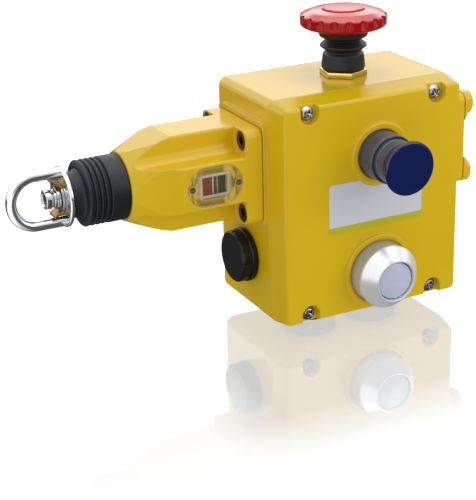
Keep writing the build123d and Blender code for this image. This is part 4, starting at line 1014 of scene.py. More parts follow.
@dataclass(frozen=True)
class Coil:
    """A round-wire spring: its mean radius and its wire's radius in millimetres, and its turns."""

    radius: float
    wire: float
    turns: float
    closed: float = 0.9
    dead: float = 1.9
    steps: int = 40
    sides: int = 12

    def spring(self, name: str, way: Way, origin: Point, length: float) -> bpy.types.Object:
        """Makes the spring, whose end turns lie closed.

        path(t) = origin + rise(t)·axis + radius·(cos 2πt·across + sin 2πt·up), with t from 0 to turns.
        Over the closed part of either end turn the wire rises by dead wire radii to a turn, which is
        about its own thickness, and between them it rises evenly over what is left of the length.

        Args:
            name: the piece's name.
            way: the spring's axis.
            origin: the lower end of its axis in millimetres.
            length: its length in millimetres.

        Returns:
            The new object.
        """
        turn = np.linspace(0, self.turns, int(self.turns * self.steps) + 1)
        angle = 2 * np.pi * turn
        ends = np.clip(turn, 0, self.closed) + np.clip(turn - self.turns + self.closed, 0, self.closed)
        open_share = np.clip((turn - self.closed) / (self.turns - 2 * self.closed), 0, 1)
        open_length = length - 2 * self.wire * (1 + self.dead * self.closed)
        rise = self.wire * (1 + self.dead * ends) + open_share * open_length
        path = way.place(origin, rise, self.radius * np.cos(angle), self.radius * np.sin(angle))
        return carried_circle(name, path, np.array(way.value[0], dtype=float), self.wire, self.sides)


# Sub-assemblies


@dataclass
class Housing:
    """The cast box with its lid, screws, gaskets, end cap and label plate."""

    screw_head_r: float = 3.4
    screw_head_t: float = 2.4
    shank_r: float = 1.6
    recess_w: float = 1.1
    recess_l: float = 4.2
    recess_d: float = 2.2
    recess_slope: float = 0.2
    recess_end: float = 0.5
    dome_drop: float = 0.75
    screw_turns_deg: tuple[float, ...] = (20.0, 65.0, 40.0, 8.0)

    def screw_head(self, name: str, x: float, y: float, z: float, turn_deg: float) -> bpy.types.Object:
        """A domed head with a cross recess, worked out as one height over a disc.

        height(r, a) = head·(1 - drop·(r/R)⁴) - depth·(cross mask)·(1.15 - r/reach, at most 1); the
        mask is 1 within either arm of the cross and falls to 0 over the recess' slope.

        Args:
            name: the piece's name.
            x: the axis' X in millimetres.
            y: the seat's Y in millimetres.
            z: the axis' Z in millimetres.
            turn_deg: how far the cross is turned.

        Returns:
            The new object.
        """
        radius = np.concatenate([np.linspace(0, 0.96, 30), [0.985, 1.0]]) * self.screw_head_r
        angle = np.linspace(0, 2 * np.pi, 96, endpoint=False)
        r, a = np.meshgrid(radius, angle, indexing="ij")
        turn = a + math.radians(turn_deg)
        arms = [np.abs(r * np.cos(turn)), np.abs(r * np.sin(turn))]
        half, reach = self.recess_w / 2, self.recess_l / 2
        sides = [np.clip((half - arm) / self.recess_slope + 0.5, 0, 1) for arm in arms]
        ends = [np.clip((reach - arm) / self.recess_end, 0, 1) for arm in reversed(arms)]
        cross = np.maximum(sides[0] * ends[0], sides[1] * ends[1])
        dome = self.screw_head_t * (1 - self.dome_drop * (r / self.screw_head_r) ** 4)
        height = dome - self.recess_d * cross * np.clip(1.15 - r / reach, 0, 1)
        top = Way.LID.place((x, y, z), height, r * np.cos(a), r * np.sin(a))
        edge = Way.LID.place((x, y, z), 0 * angle, radius[-1] * np.cos(angle), radius[-1] * np.sin(angle))
        foot = Way.LID.place((x, y, z), 0 * angle, 0 * angle, 0 * angle)
        return grid_object(name, np.concatenate([top, edge[None], foot[None]]), sharp_deg=32)

    def screws(self) -> None:
        """The four lid screws, heads with recesses and plain shanks below."""
        low, high = node_box("lid_screws")
        seat = low[1] + self.screw_head_t
        tip = seat - high[1]
        left, right = low[0] + self.screw_head_r, high[0] - self.screw_head_r
        foot, top = low[2] + self.screw_head_r, high[2] - self.screw_head_r
        r = self.shank_r
        shank = [(0, 0, 0), (0, r, 0), (tip + 0.8, r, 0.3), (tip, 0.9, 0.2), (tip, 0, 0)]
        made = []
        corners = ((left, top), (right, top), (left, foot), (right, foot))
        for k, ((x, z), turn) in enumerate(zip(corners, self.screw_turns_deg)):
            made.append(self.screw_head(f"lid_screw_head_{k}", x, seat, z, turn))
            made.append(turned(f"lid_screw_shank_{k}", Way.LID, (x, seat, z), shank, 24))
        stand_in(joined("lid_screw_set", made), Body.SWITCH, Paint.SCREW.value, "lid_screws")

    def build(self) -> None:
        """Dresses the castings and makes the fine pieces."""
        dress(("housing", "lid", "end_cap"), Paint.YELLOW.value)
        dress(("lid_gasket",), Paint.RUBBER.value)
        dress(("end_cap_gasket", "snout_gasket"), Paint.JOINT_SHADE.value)
        dress(("label_plate",), Paint.FOIL.value)
        dress(("end_cap_screws", "snout_screws"), Paint.DARK_SCREW.value)
        dress(("end_bush", "nose_bush"), Paint.BRONZE.value)
        self.screws()


@dataclass
class Snout:
    """The snout casting with its tension window and flag."""

    frame_w: float = 15.8
    frame_h: float = 10.9
    frame_corner: float = 1.2
    frame_sunk: float = 0.6
    frame_proud: float = 0.15
    sight_w: float = 12.6
    sight_h: float = 8.4
    sight_corner: float = 0.6

    def build(self) -> None:
        """Dresses the casting, the clear window and the two-colour flag."""
        dress(("snout",), Paint.YELLOW.value)
        dress(("window_lens",), Paint.CLEAR.value)
        x, _, z = middle("window_lens")
        flag = Banded("tension_flag", "flag_plastic", linear(160, 8, 26), 0.4, tone=0.05,
                      edge_reach=0.0001, round_reach=0.0, axis=0,
                      bands=((x + 1.0, linear(250, 250, 250)), (x + 1.6, linear(66, 80, 80)),
                             (x + 3.2, linear(232, 236, 234)), (x + 3.7, linear(50, 66, 64))))
        dress(("tension_flag",), flag)
        dress(("window_mask",), Paint.PALE.value)
        dress(("window_screws",), Paint.BROWN_SCREW.value)
        self.window_frame((x, node_box("window_mask")[0][1], z))

    def window_frame(self, place: Point) -> None:
        """The pale moulded frame round the window's opening.

        Args:
            place: the opening's middle on the mask's front, in millimetres.
        """
        outer = rounded_box(self.frame_w, self.frame_h, self.frame_corner)
        inner = rounded_box(self.sight_w, self.sight_h, self.sight_corner)
        piece = slab("window_frame", Way.LID, place, outer, -self.frame_sunk, self.frame_proud, 0.2, inner)
        stand_in(piece, Body.SWITCH, Paint.FRAME.value)


@dataclass
class RopeEye:
    """The rubber bellows and the swivel eye with its bolt and washers."""

    bow_r: float = 2.4
    bow_pitch: float = 22.6
    bellows_r: float = 14.9
    groove_pitch: float = 2.45
    groove_depth: float = 1.3
    groove_count: int = 4
    sleeve_l: float = 18.9
    neck_r: float = 10.5
    neck_bore_r: float = 8.4
    bolt_r: float = 4.4
    shoulder_r: float = 3.5
    washer_r: float = 5.0
    coil: Coil = Coil(7.4, 0.9, 5.0)

    def axis(self) -> Point:
        """The rope's axis at X = 0, in millimetres."""
        _, y, z = middle("eye_disc")
        return (0.0, float(y), float(z))

    def bellows(self) -> None:
        """The rubber sleeve: smooth at the nose, four rounded grooves, a rim and a flared neck."""
        low, high = node_box("snout_bellows")
        back, front = -high[0], -low[0]
        rim = back + self.sleeve_l
        r, neck, bore = self.bellows_r, self.neck_r, self.neck_bore_r
        floor_r = r - self.groove_depth
        corners = [(back + 3, r - 2.6, 0), (back, r - 2.2, 0.2), (back, r, 0.5)]
        for k in reversed(range(self.groove_count)):
            mid = rim - 2.0 - k * self.groove_pitch
            corners += [(mid - 0.85, r, 0.45), (mid - 0.3, floor_r, 0.25)]
            corners += [(mid + 0.3, floor_r, 0.25), (mid + 0.85, r, 0.45)]
        corners += [
            (rim, r, 0.9), (rim + 0.9, r - 2.6, 0.8), (rim + 0.4, neck + 0.9, 0.7), (rim + 1.6, neck, 0.8),
            (front - 1.2, neck - 0.5, 0.6), (front, neck + 0.1, 0.3), (front, bore, 0.3),
            (front - 3.0, bore, 0), (front - 6.5, bore, 1.0), (rim - 3.0, 12.2, 1.0),
        ]
        piece = turned("bellows", Way.ROPE, self.axis(), corners, 128, 5, closed=True, sharp_deg=60)
        _, y, z = self.axis()
        held, pulled = (-(back + 8.0), y, z), (-(rim + 1.0), y, z)
        stretch(piece, Body.ROD, Paint.RUBBER.value, held, pulled, "snout_bellows")

    def bow(self) -> None:
        """The U-shaped rod: two straight legs and half a circle between them, in the upright plane."""
        low, high = node_box("eye_bow")
        half = self.bow_pitch / 2
        bend = low[0] + self.bow_r + half
        _, y, z = self.axis()
        leg = np.linspace(high[0], bend, 12)[:-1]
        turn = np.linspace(np.pi / 2, 1.5 * np.pi, 65)
        arc = np.column_stack([bend + half * np.cos(turn), 0 * turn + y, z + half * np.sin(turn)])
        top = np.column_stack([leg, 0 * leg + y, 0 * leg + z + half])
        foot = np.column_stack([leg[::-1], 0 * leg + y, 0 * leg + z - half])
        path = np.vstack([top, arc, foot])
        piece = carried_circle("eye_bow_rod", path, np.array((0.0, 1.0, 0.0)), self.bow_r, sides=40)
        stand_in(piece, Body.EYE, Paint.CHROME.value, "eye_bow")

    def disc(self) -> None:
        """The round plate with a fully rounded rim."""
        low, high = node_box("eye_disc")
        back, front = -high[0], -low[0]
        r = (high[1] - low[1]) / 2
        bore = self.shoulder_r + 0.06
        corners = [
            (back, bore, 0), (back, r, 0.9), (front, r, 0.9), (front, r - 2.6, 0.3),
            (front - 0.12, r - 2.9, 0.2), (front - 0.12, bore, 0),
        ]
        piece = turned("eye_plate", Way.ROPE, self.axis(), corners, 128, 8, closed=True)
        stand_in(piece, Body.EYE, Paint.CHROME.value, "eye_disc")

    def hardware(self) -> None:
        """The bolt with its hollow end, the washer under its head and the bent tab washer."""
        low, high = node_box("eye_bolt")
        tip, end = -high[0], -low[0]
        back, seat = (-edge[0] for edge in reversed(node_box("eye_washer")))
        rod_end = -node_box("pull_rod")[0][0]
        r, shoulder = self.bolt_r, self.shoulder_r
        bolt = [
            (tip, 0, 0), (tip, 2.5, 0.4), (rod_end, 2.5, 0), (rod_end, shoulder, 0), (seat, shoulder, 0),
            (seat, r - 0.2, 0.3), (seat + 1.0, r - 0.4, 0.3), (seat + 1.3, 3.3, 0.2), (seat + 1.6, 3.4, 0.2),
            (seat + 2.0, r, 0.5), (end - 0.3, r, 0.9), (end, 3.5, 0.4), (end - 0.5, 2.9, 0.3),
            (end - 2.6, 2.5, 0.2), (end - 3.0, 0, 0),
        ]
        piece = turned("eye_bolt_head", Way.ROPE, self.axis(), bolt, 64)
        stand_in(piece, Body.ROD, Paint.BOLT.value, "eye_bolt")
        # This cup lines the bolt's hollow end in dark brown, as painted shade.
        cup = [
            (end - 2.8, 0, 0), (end - 2.8, 2.8, 0), (end - 0.9, 2.8, 0.3), (end - 0.9, 2.2, 0.2),
            (end - 1.8, 1.9, 0.1), (end - 1.8, 0, 0),
        ]
        piece = turned("eye_bolt_socket", Way.ROPE, self.axis(), cup, 48)
        stand_in(piece, Body.ROD, Paint.SOCKET.value)
        r = self.washer_r
        ring = [(back, shoulder, 0), (back, r, 0.3), (seat, r, 0.3), (seat, shoulder, 0)]
        piece = turned("eye_washer_ring", Way.ROPE, self.axis(), ring, 64, closed=True)
        stand_in(piece, Body.ROD, Paint.BOLT.value, "eye_washer")
        dress(("tab_washer",), Paint.PLATED_TABS.value)

    def rod(self) -> None:
        """The pull rod and what it carries inside, and the rope spring."""
        dress(("pull_rod", "spring_seat", "cam_pin"), Paint.STEEL.value)
        dress(("switching_cam",), Paint.GREY.value)
        low, high = node_box("rope_spring")
        _, y, z = self.axis()
        spring = self.coil.spring("rope_return_spring", Way.ROPE, (high[0], y, z), high[0] - low[0])
        held, pushed = (low[0] + 2.0, y, z), (high[0] - 2.0, y, z)
        stretch(spring, Body.ROD, Paint.STEEL.value, held, pushed, "rope_spring")

    def build(self) -> None:
        """Makes every piece of the eye and the bellows."""
        self.bellows()
        self.bow()
        self.disc()
        self.hardware()
        self.rod()


@dataclass
class MushroomButton:
    """The red mushroom button with its boot, nut and sliding stem."""

    scallops: int = 18
    scallop_turn_deg: float = 7.5
    scallop_depth: float = 1.5
    rim_r: float = 20.0
    rim_t: float = 4.9
    crown_h: float = 2.9
    disc_r: float = 9.6
    stem_r: float = 3.56
    nut_flats: float = 19.4
    nut_turn_deg: float = 50.0
    nut_bore_r: float = 8.05
    coil: Coil = Coil(6.1, 0.6, 4.0)

    def axis(self) -> Point:
        """The button's axis at Z = 0, in millimetres."""
        x, y, _ = middle("estop_nut")
        return (float(x), float(y), 0.0)

    def scalloped(self, station: Array, radius: Array, angle: Array) -> tuple[Array, Array]:
        """Cuts half-moons out of the rim's upper edge, which run out before its lower edge.

        new radius = min(radius, rim - depth·hollow(a)·rise), with hollow(a) = the root of cos(n·(a - turn))
        where that is above 0. rise goes evenly from 0 near the rim's lower edge to 1 near its upper edge.

        Args:
            station: heights in millimetres.
            radius: radii in millimetres.
            angle: angles round the axis.

        Returns:
            The stations and the new radii.
        """
        hollow = np.clip(np.cos(self.scallops * (angle - math.radians(self.scallop_turn_deg))), 0, 1) ** 0.5
        low = node_box("estop_head")[1][2] - self.crown_h - self.rim_t
        rise = np.clip((station - low - 0.7) / (self.rim_t - 1.1), 0, 1)
        return station, np.minimum(radius, self.rim_r + 0.001 - self.scallop_depth * hollow * rise)

    def head(self) -> None:
        """The mushroom: a hub, a flared underside, a scalloped rim and a shallow crown."""
        low, high = node_box("estop_head")
        top = high[2]
        rim_top = top - self.crown_h
        rim_low = rim_top - self.rim_t
        r, recess = self.rim_r, self.disc_r + 0.1
        side = [(rim_low + 1.0 + 0.28 * k, r - 0.12 + 0.009 * k, 0) for k in range(13)]
        slope = [(rim_top + 0.4 + 0.42 * t, r - 0.8 - t, 0) for t in np.linspace(0.0, 3.0, 16)]
        corners = [
            (low[2], self.stem_r, 0), (low[2], 12.6, 0.4), (rim_low - 1.2, 15.4, 1.0),
            (rim_low - 0.1, r - 1.3, 0.5), (rim_low + 0.5, r - 0.4, 0.3), *side,
            (rim_top - 0.1, r, 0.3), *slope, (rim_top + 2.05, 15.2, 1.0), (top - 0.05, recess + 0.6, 0.3),
            (top - 0.5, recess, 0.1), (top - 1.2, recess, 0), (top - 1.2, self.stem_r, 0),
        ]
        piece = turned("mushroom_head", Way.UP, self.axis(), corners, 360, 8, closed=True,
                       shape=self.scalloped, sharp_deg=38)
        # Below rim_top + 0.3 the red is darker than the crown's: painted shade on the button's side.
        red = Banded("red_gloss_rim_painted_shade", "red_plastic", linear(178, 3, 8), 0.16, specular=0.2,
                     grain_scale=260.0, tone=0.04, edge_lift=0.02, round_reach=0.0002,
                     bands=((rim_top + 0.3, linear(222, 12, 14)),), coat_from=rim_top + 0.3)
        stand_in(piece, Body.MUSHROOM, red, "estop_head")

    def emblem(self) -> None:
        """The bare raised disc in the crown's middle."""
        low, high = node_box("estop_cap")
        rim = self.disc_r - 0.15
        corners = [
            (low[2], 0, 0), (low[2], rim, 0), (high[2] - 0.1, rim, 0.45), (high[2] - 0.1, rim - 1.0, 0.3),
            (high[2] - 0.35, rim - 1.4, 0.3), (high[2], 0, 0),
        ]
        piece = turned("mushroom_disc", Way.UP, self.axis(), corners, 128, 8)
        stand_in(piece, Body.MUSHROOM, Paint.RED.value, "estop_cap")

    def boot(self) -> None:
        """The rubber boot: a cone on the nut, one full fold and a flare under the button."""
        low, high = node_box("estop_boot")
        x, y, _ = self.axis()
        base, top = low[2], high[2]
        corners = [
            (base, 8.1, 0), (base, 9.7, 0.3), (base + 1.2, 10.2, 0.4), (base + 7.3, 9.5, 0.5),
            (base + 7.9, 8.9, 0.3), (base + 8.7, 8.1, 0.4), (base + 10.9, 10.9, 0.3),
            (base + 11.5, 10.8, 0.3), (base + 14.1, 7.9, 0.4), (base + 15.6, 11.0, 0.4),
            (top, 11.8, 0.3), (top, 10.7, 0.2),
            (base + 15.4, 9.6, 0.3), (base + 14.1, 6.8, 0.3), (base + 11.2, 9.7, 0.3), (base + 8.7, 7.0, 0.3),
            (base + 7.2, 8.4, 0.4), (base + 1.4, 9.1, 0.4), (base + 0.9, 8.1, 0),
        ]
        piece = turned("boot_rubber", Way.UP, self.axis(), corners, 128, closed=True, sharp_deg=60)
        held, pressed = (x, y, base + 7.5), (x, y, top - 1.0)
        stretch(piece, Body.STEM, Paint.RUBBER.value, held, pressed, "estop_boot")

    def nut(self) -> None:
        """The polished hexagon nut, its corners chamfered on top."""
        low, high = node_box("estop_nut")
        flats = polygon(self.nut_flats, 6, self.nut_turn_deg, 12)
        bore = polygon(2 * self.nut_bore_r, 72, 0.0, 1)
        piece = slab("boot_nut", Way.UP, self.axis(), flats, low[2], high[2], 0.45, bore)
        stand_in(piece, Body.SWITCH, Paint.NICKEL.value, "estop_nut")

    def build(self) -> None:
        """Makes every piece of the mushroom button."""
        self.head()
        self.emblem()
        self.boot()
        self.nut()
        dress(("estop_barrel", "estop_stem"), Paint.BLACK.value)
        dress(("estop_clip",), Paint.STEEL.value)
        low, high = node_box("estop_spring")
        x, y, _ = self.axis()
        spring = self.coil.spring("mushroom_spring", Way.UP, (x, y, low[2]), high[2] - low[2])
        held, pressed = (x, y, low[2] + 1.5), (x, y, high[2] - 1.5)
        stretch(spring, Body.STEM, Paint.STEEL.value, held, pressed, "estop_spring")


@dataclass
class ResetButton:
    """The blue reset button on its grey collar."""

    collar_r: float = 11.3
    thread_r: float = 8.0
    shaft_r: float = 5.0
    shaft_gap: float = 0.05
    sleeve_r: float = 10.2
    sleeve_wall: float = 1.6
    cap_r: float = 12.6
    coil: Coil = Coil(6.5, 0.5, 5.0)

    def axis(self) -> Point:
        """The button's axis on the lid's front face, in millimetres."""
        return lid_axis("reset_cap")

    def collar(self, finish: Finish) -> None:
        """The fixed collar with a thin bead at its foot and a lip at its mouth.

        Args:
            finish: its finish.
        """
        tail, mouth = lid_span("reset_collar")
        r, thread, bore = self.collar_r, self.thread_r, self.shaft_r + self.shaft_gap
        corners = [
            (tail, bore, 0), (tail, thread, 0.3), (0, thread, 0), (0, r + 0.15, 0), (0.9, r + 0.15, 0.2),
            (1.1, r - 0.1, 0.1), (1.4, r, 0.1), (mouth - 1.3, r, 0.1), (mouth - 1.15, r - 0.2, 0.08),
            (mouth - 1.0, r, 0.1), (mouth, r, 0.4), (mouth, r - 0.8, 0.25), (3.0, r - 0.8, 0), (3.0, bore, 0),
        ]
        piece = turned("reset_collar_ring", Way.LID, self.axis(), corners, 128, 5, closed=True)
        stand_in(piece, Body.SWITCH, finish, "reset_collar")

    def sleeve(self, finish: Finish) -> None:
        """The sliding sleeve under the cap with its shaft through the collar.

        Args:
            finish: its finish.
        """
        tail, front = lid_span("reset_plunger")
        r, shaft = self.sleeve_r, self.shaft_r
        inner = r - self.sleeve_wall
        corners = [
            (tail, 0, 0), (tail, shaft, 0.4), (front - 3.0, shaft, 0), (front - 3.0, inner, 0),
            (8.0, inner, 0), (8.0, r, 0.3), (front - 5.3, r, 0.1), (front - 5.1, r - 0.18, 0.08),
            (front - 4.9, r, 0.1), (front, r, 0.2), (front, 0, 0),
        ]
        piece = turned("reset_sleeve_turned", Way.LID, self.axis(), corners, 128, 5)
        stand_in(piece, Body.RESET, finish, "reset_plunger")

    def cap(self, finish: Finish) -> None:
        """The blue cap: a cone that opens to a crowned disc with a rounded rim.

        Args:
            finish: its finish.
        """
        back, front = lid_span("reset_cap")
        r, neck = self.cap_r, self.sleeve_r
        corners = [
            (back, 0, 0), (back, neck, 0.1), (back + 0.9, neck + 0.1, 0.5), (front - 2.8, r - 0.55, 0.8),
            (front - 1.6, r, 0.6), (front - 0.7, r - 0.2, 0.7), (front - 0.2, r - 1.3, 0.8),
            (front - 0.45, r - 2.6, 1.0), (front - 0.1, 4.0, 3.0), (front, 0, 0),
        ]
        piece = turned("reset_cap_blue", Way.LID, self.axis(), corners, 160, 8)
        stand_in(piece, Body.RESET, finish, "reset_cap")

    def build(self) -> None:
        """Makes every piece of the reset button."""
        x, _, z = self.axis()
        metal = TurnedFinish("lilac_grey_metal", "grey_metal_look", linear(80, 86, 110), 0.24, metallic=0.05,
                             centre=self.axis(), mark_scale=2500.0, mark_depth=0.004, tone=0.2)
        blue = TurnedFinish("blue_gloss_plastic", "blue_plastic", linear(1, 24, 92), 0.1, specular=0.45,
                            centre=self.axis(), mark_scale=1400.0, mark_depth=0.012, tone=0.12,
                            edge_lift=0.04, round_reach=0.0002)
        self.collar(metal)
        self.sleeve(metal)
        self.cap(blue)
        dress(("reset_clip", "reset_locknut"), Paint.STEEL.value)
        low, high = node_box("reset_spring")
        spring = self.coil.spring("reset_return_spring", Way.LID, (x, high[1], z), high[1] - low[1])
        held, pressed = (x, high[1] - 1.5, z), (x, low[1] + 1.5, z)
        stretch(spring, Body.RESET, Paint.STEEL.value, held, pressed, "reset_spring")


@dataclass
class IndicatorLamp:
    """The lamp: a knurled collar, a silver cone and a diffusing lens."""

    collar_r: float = 14.7
    collar_bore_r: float = 11.05
    bezel_r: float = 15.2
    face_r: float = 10.0
    lens_r: float = 8.9
    lens_gap: float = 0.4
    lens_wall: float = 1.4
    knurls: int = 120
    knurl_depth: float = 0.12

    def axis(self) -> Point:
        """The lamp's axis on the lid's front face, in millimetres."""
        return lid_axis("lamp_bezel")

    def knurled(self, station: Array, radius: Array, angle: Array) -> tuple[Array, Array]:
        """Fine straight ridges: radius - depth·|sin(n·a/2)| on the collar's outside."""
        outside = radius > self.collar_r - 0.3
        return station, radius - self.knurl_depth * np.abs(np.sin(self.knurls * angle / 2)) * outside

    def collar(self) -> None:
        """The collar that the cone screws on, with its knurled outside."""
        _, mouth = lid_span("lamp_collar")
        beige = Finish("beige_grey_ribbed", "satin_silver", linear(200, 203, 206), 0.32, metallic=0.1,
                       tone=0.08)
        r, bore = self.collar_r, self.collar_bore_r
        corners = [(0, bore, 0), (0, r, 0.2), (mouth, r, 0.2), (mouth, bore, 0)]
        piece = turned("lamp_collar_knurled", Way.LID, self.axis(), corners, 720, 4, closed=True,
                       shape=self.knurled)
        stand_in(piece, Body.SWITCH, beige, "lamp_collar")

    def cone(self) -> None:
        """The silver cone with a flat face round the lens."""
        back, front = lid_span("lamp_bezel")
        silver = TurnedFinish("satin_silver_cone", "satin_silver", linear(240, 242, 246), 0.28, metallic=0.3,
                              centre=self.axis(), mark_scale=3200.0, mark_depth=0.0015, tone=0.03)
        r, face, seat = self.bezel_r, self.face_r, self.lens_r + self.lens_gap
        corners = [
            (back, seat, 0), (back, r - 0.2, 0.2), (back + 0.4, r, 0.3), (back + 1.4, r, 0.5),
            (front - 0.7, face + 0.35, 0.5), (front, face + 0.1, 0.35), (front, seat + 0.1, 0.3),
            (front - 1.6, seat, 0),
        ]
        piece = turned("lamp_cone", Way.LID, self.axis(), corners, 160, 8, closed=True)
        stand_in(piece, Body.SWITCH, silver, "lamp_bezel")

    def dome(self) -> None:
        """The lens: a shallow dome on a thin skirt."""
        tail, tip = lid_span("lamp_lens")
        r = self.lens_r
        inner = r - self.lens_wall
        corners = [
            (tip - 2.5, 0, 0), (tip - 2.5, inner, 0), (tail, inner, 0), (tail, r, 0), (tip - 2.0, r, 0.3),
            (tip - 1.3, r - 0.6, 0.5), (tip - 0.2, 4.0, 3.0), (tip, 0, 0),
        ]
        piece = turned("lamp_lens_dome", Way.LID, self.axis(), corners, 128, 8)
        stand_in(piece, Body.SWITCH, Paint.LENS.value, "lamp_lens")

    def build(self) -> None:
        """Makes every piece of the lamp."""
        self.collar()
        self.cone()
        self.dome()
        dress(("lamp_barrel",), Paint.BLACK.value)
        dress(("lamp_module",), Paint.GREY.value)
        dress(("lamp_locknut",), Paint.STEEL.value)


@dataclass
class EntryPlugs:
    """The black blanking plugs in the left cable entry and in the two below."""

    def build(self) -> None:
        """Dresses the plugs and their seals."""
        dress(("entry_plug", "bottom_plugs"), Paint.BLACK.value)
        dress(("plug_seal", "bottom_plug_seals"), Paint.RUBBER.value)


@dataclass
class Contacts:
    """The contact blocks and terminals inside the box."""

    def build(self) -> None:
        """Dresses the inner pieces."""
        dress(("contact_blocks", "terminal_block"), Paint.GREY.value)
        dress(("contact_plungers",), Paint.RED.value)
        dress(("contact_bracket", "bracket_screws"), Paint.STEEL.value)
        dress(("terminal_screws",), Paint.GOLD.value)


# Studio


@dataclass(frozen=True)
class Ramp:
    """A share that rises evenly from 0 to 1 from one place on; a negative steepness turns it round."""

    start: float
    steep: float

    def over(self, wire: Wiring, along: Socket) -> Socket:
        """The share: steep·(along - start), kept between 0 and 1.

        Args:
            wire: the tree's wiring.
            along: the place's socket.

        Returns:
            The share's socket.
        """
        return wire.capped(wire.times(wire.minus(along, self.start), self.steep))


@dataclass
class Studio:
    """The white floor, the soft lamps, the white surround and the camera."""

    eye: Point = (-330.7, -594.3, 232.0)
    yaw_deg: float = -26.11
    pitch_deg: float = 22.06
    roll_deg: float = -1.58
    lens: float = 104.3
    sensor: float = 36.0
    clip: tuple[float, float] = (0.05, 20.0)
    soft_light: float = 0.58
    left_light: float = 2.0
    right_light: float = 0.75
    left: Ramp = Ramp(-0.35, -4.0)
    right: Ramp = Ramp(0.35, 4.0)
    behind: Ramp = Ramp(-0.2, 2.5)
    front_levels: tuple[tuple[float, float], ...] = (
        (0.0, 0.3), (0.47, 0.3), (0.5, 0.05), (0.55, 0.1), (0.6, 1.0), (0.74, 1.1), (0.8, 0.8), (0.87, 2.4),
        (1.0, 3.0),
    )
    rear_levels: tuple[tuple[float, float], ...] = (
        (0.0, 0.3), (0.47, 0.3), (0.5, 0.1), (0.54, 0.6), (0.6, 1.2), (0.65, 2.6), (0.72, 2.6), (0.78, 1.3),
        (0.87, 1.8), (1.0, 3.0),
    )
    floor_half: float = 4.0
    floor_gap: float = 0.0002
    floor_colour: Colour = (0.9, 0.9, 0.9)
    floor_light: float = 0.74
    floor_seen: float = 1.07
    floor_mirrored: float = 0.08
    shadow_share: float = 0.12
    patch_x: Ramp = Ramp(-0.14, -15.0)
    patch_y: Ramp = Ramp(0.05, -15.0)
    mirror_x: Ramp = Ramp(-0.118, 25.0)
    mirror_y: Ramp = Ramp(-0.157, 27.0)
    mirror_facing: Ramp = Ramp(0.92, -10.0)
    mirror_least: float = 0.15
    mirror_most: float = 0.4
    mirror_roughness: float = 0.03

    def camera(self) -> None:
        """The camera: back = (sin y·cos p, -cos y·cos p, sin p), then rolled about it."""
        yaw, pitch, roll = (math.radians(a) for a in (self.yaw_deg, self.pitch_deg, self.roll_deg))
        back = Vector((math.sin(yaw) * math.cos(pitch), -math.cos(yaw) * math.cos(pitch), math.sin(pitch)))
        flat = Vector((math.cos(yaw), math.sin(yaw), 0.0))
        rise = back.cross(flat)
        right = math.cos(roll) * flat + math.sin(roll) * rise
        up = -math.sin(roll) * flat + math.cos(roll) * rise
        data = bpy.data.cameras.new("camera")
        data.lens, data.sensor_width = self.lens, self.sensor
        data.clip_start, data.clip_end = self.clip
        camera = linked("camera", data)
        turn = Matrix((right, up, back)).transposed().to_4x4()
        camera.matrix_world = Matrix.Translation(Vector(self.eye) * MM) @ turn
        bpy.context.scene.camera = camera

    def lamp(self, name: str, place: Point, size: float, power: float) -> None:
        """A soft square lamp that points at the switch.

        Args:
            name: its name.
            place: where it stands, in metres.
            size: its side in metres.
            power: its power in watts.
        """
        data = bpy.data.lights.new(name, "AREA")
        data.shape, data.size, data.energy = "SQUARE", size, power
        turn = (-Vector(place)).to_track_quat("-Z", "Y").to_matrix().to_4x4()
        linked(name, data).matrix_world = Matrix.Translation(place) @ turn

    def levels(self, wire: Wiring, along: Socket, stops: Sequence[tuple[float, float]]) -> Socket:
        """A light level that runs straight between stops.

        Args:
            wire: the world's wiring.
            along: the number that the stops lie on, from 0 to 1.
            stops: (place, level) pairs, in order.

        Returns:
            The level's socket.
        """
        top = max(level for _, level in stops)
        ramp = wire.add("ShaderNodeValToRGB")
        spots = ramp.color_ramp.elements
        for k, (place, level) in enumerate(stops):
            spot = spots[k] if k < 2 else spots.new(place)
            spot.position = place
            spot.color = (level / top, level / top, level / top, 1.0)
        wire.join(along, ramp.inputs[0])
        return wire.times(ramp.outputs[0], top)

    def surround(self) -> None:
        """White for the camera and through glass, a soft even light, and a banded one for mirrors.

        A mirrored ray reads front(z) where it runs towards the camera's side and rear(z) behind the
        switch, blended over 0.4 of the direction's Y; both are curves of the direction's Z. Beyond 0.35
        of the direction's X either way it reads at least the left or right light, which rises over 0.25.
        """
        world = bpy.data.worlds.new("surround")
        bpy.context.scene.world = world
        world.use_nodes = True
        wire = Wiring(world.node_tree)
        wire.tree.nodes.clear()
        rays = wire.add("ShaderNodeLightPath").outputs
        seen = wire.maths("MAXIMUM", rays["Is Camera Ray"], rays["Is Transmission Ray"])
        way = wire.axes(wire.reads("Generated"))
        high = wire.plus(wire.times(way["Z"], 0.5), 0.5)
        front, rear = (self.levels(wire, high, stops) for stops in (self.front_levels, self.rear_levels))
        bands = wire.add("ShaderNodeMix", data_type="FLOAT")
        shares = (self.behind.over(wire, way["Y"]), front, rear)
        for value, target in zip(shares, bands.inputs[:1] + bands.inputs[2:4]):
            wire.join(value, target)
        sides = wire.maths("MAXIMUM", wire.times(self.left.over(wire, way["X"]), self.left_light),
                           wire.times(self.right.over(wire, way["X"]), self.right_light))
        mirrored = wire.times(rays["Is Glossy Ray"], wire.maths("MAXIMUM", bands.outputs[0], sides))
        plain = wire.times(wire.minus(1.0, rays["Is Glossy Ray"]), self.soft_light)
        back = wire.add("ShaderNodeBackground")
        wire.feed(WHITE, back.inputs["Color"])
        wire.join(wire.maths("MAXIMUM", seen, wire.plus(mirrored, plain)), back.inputs["Strength"])
        wire.join(back.outputs[0], wire.add("ShaderNodeOutputWorld").inputs["Surface"])

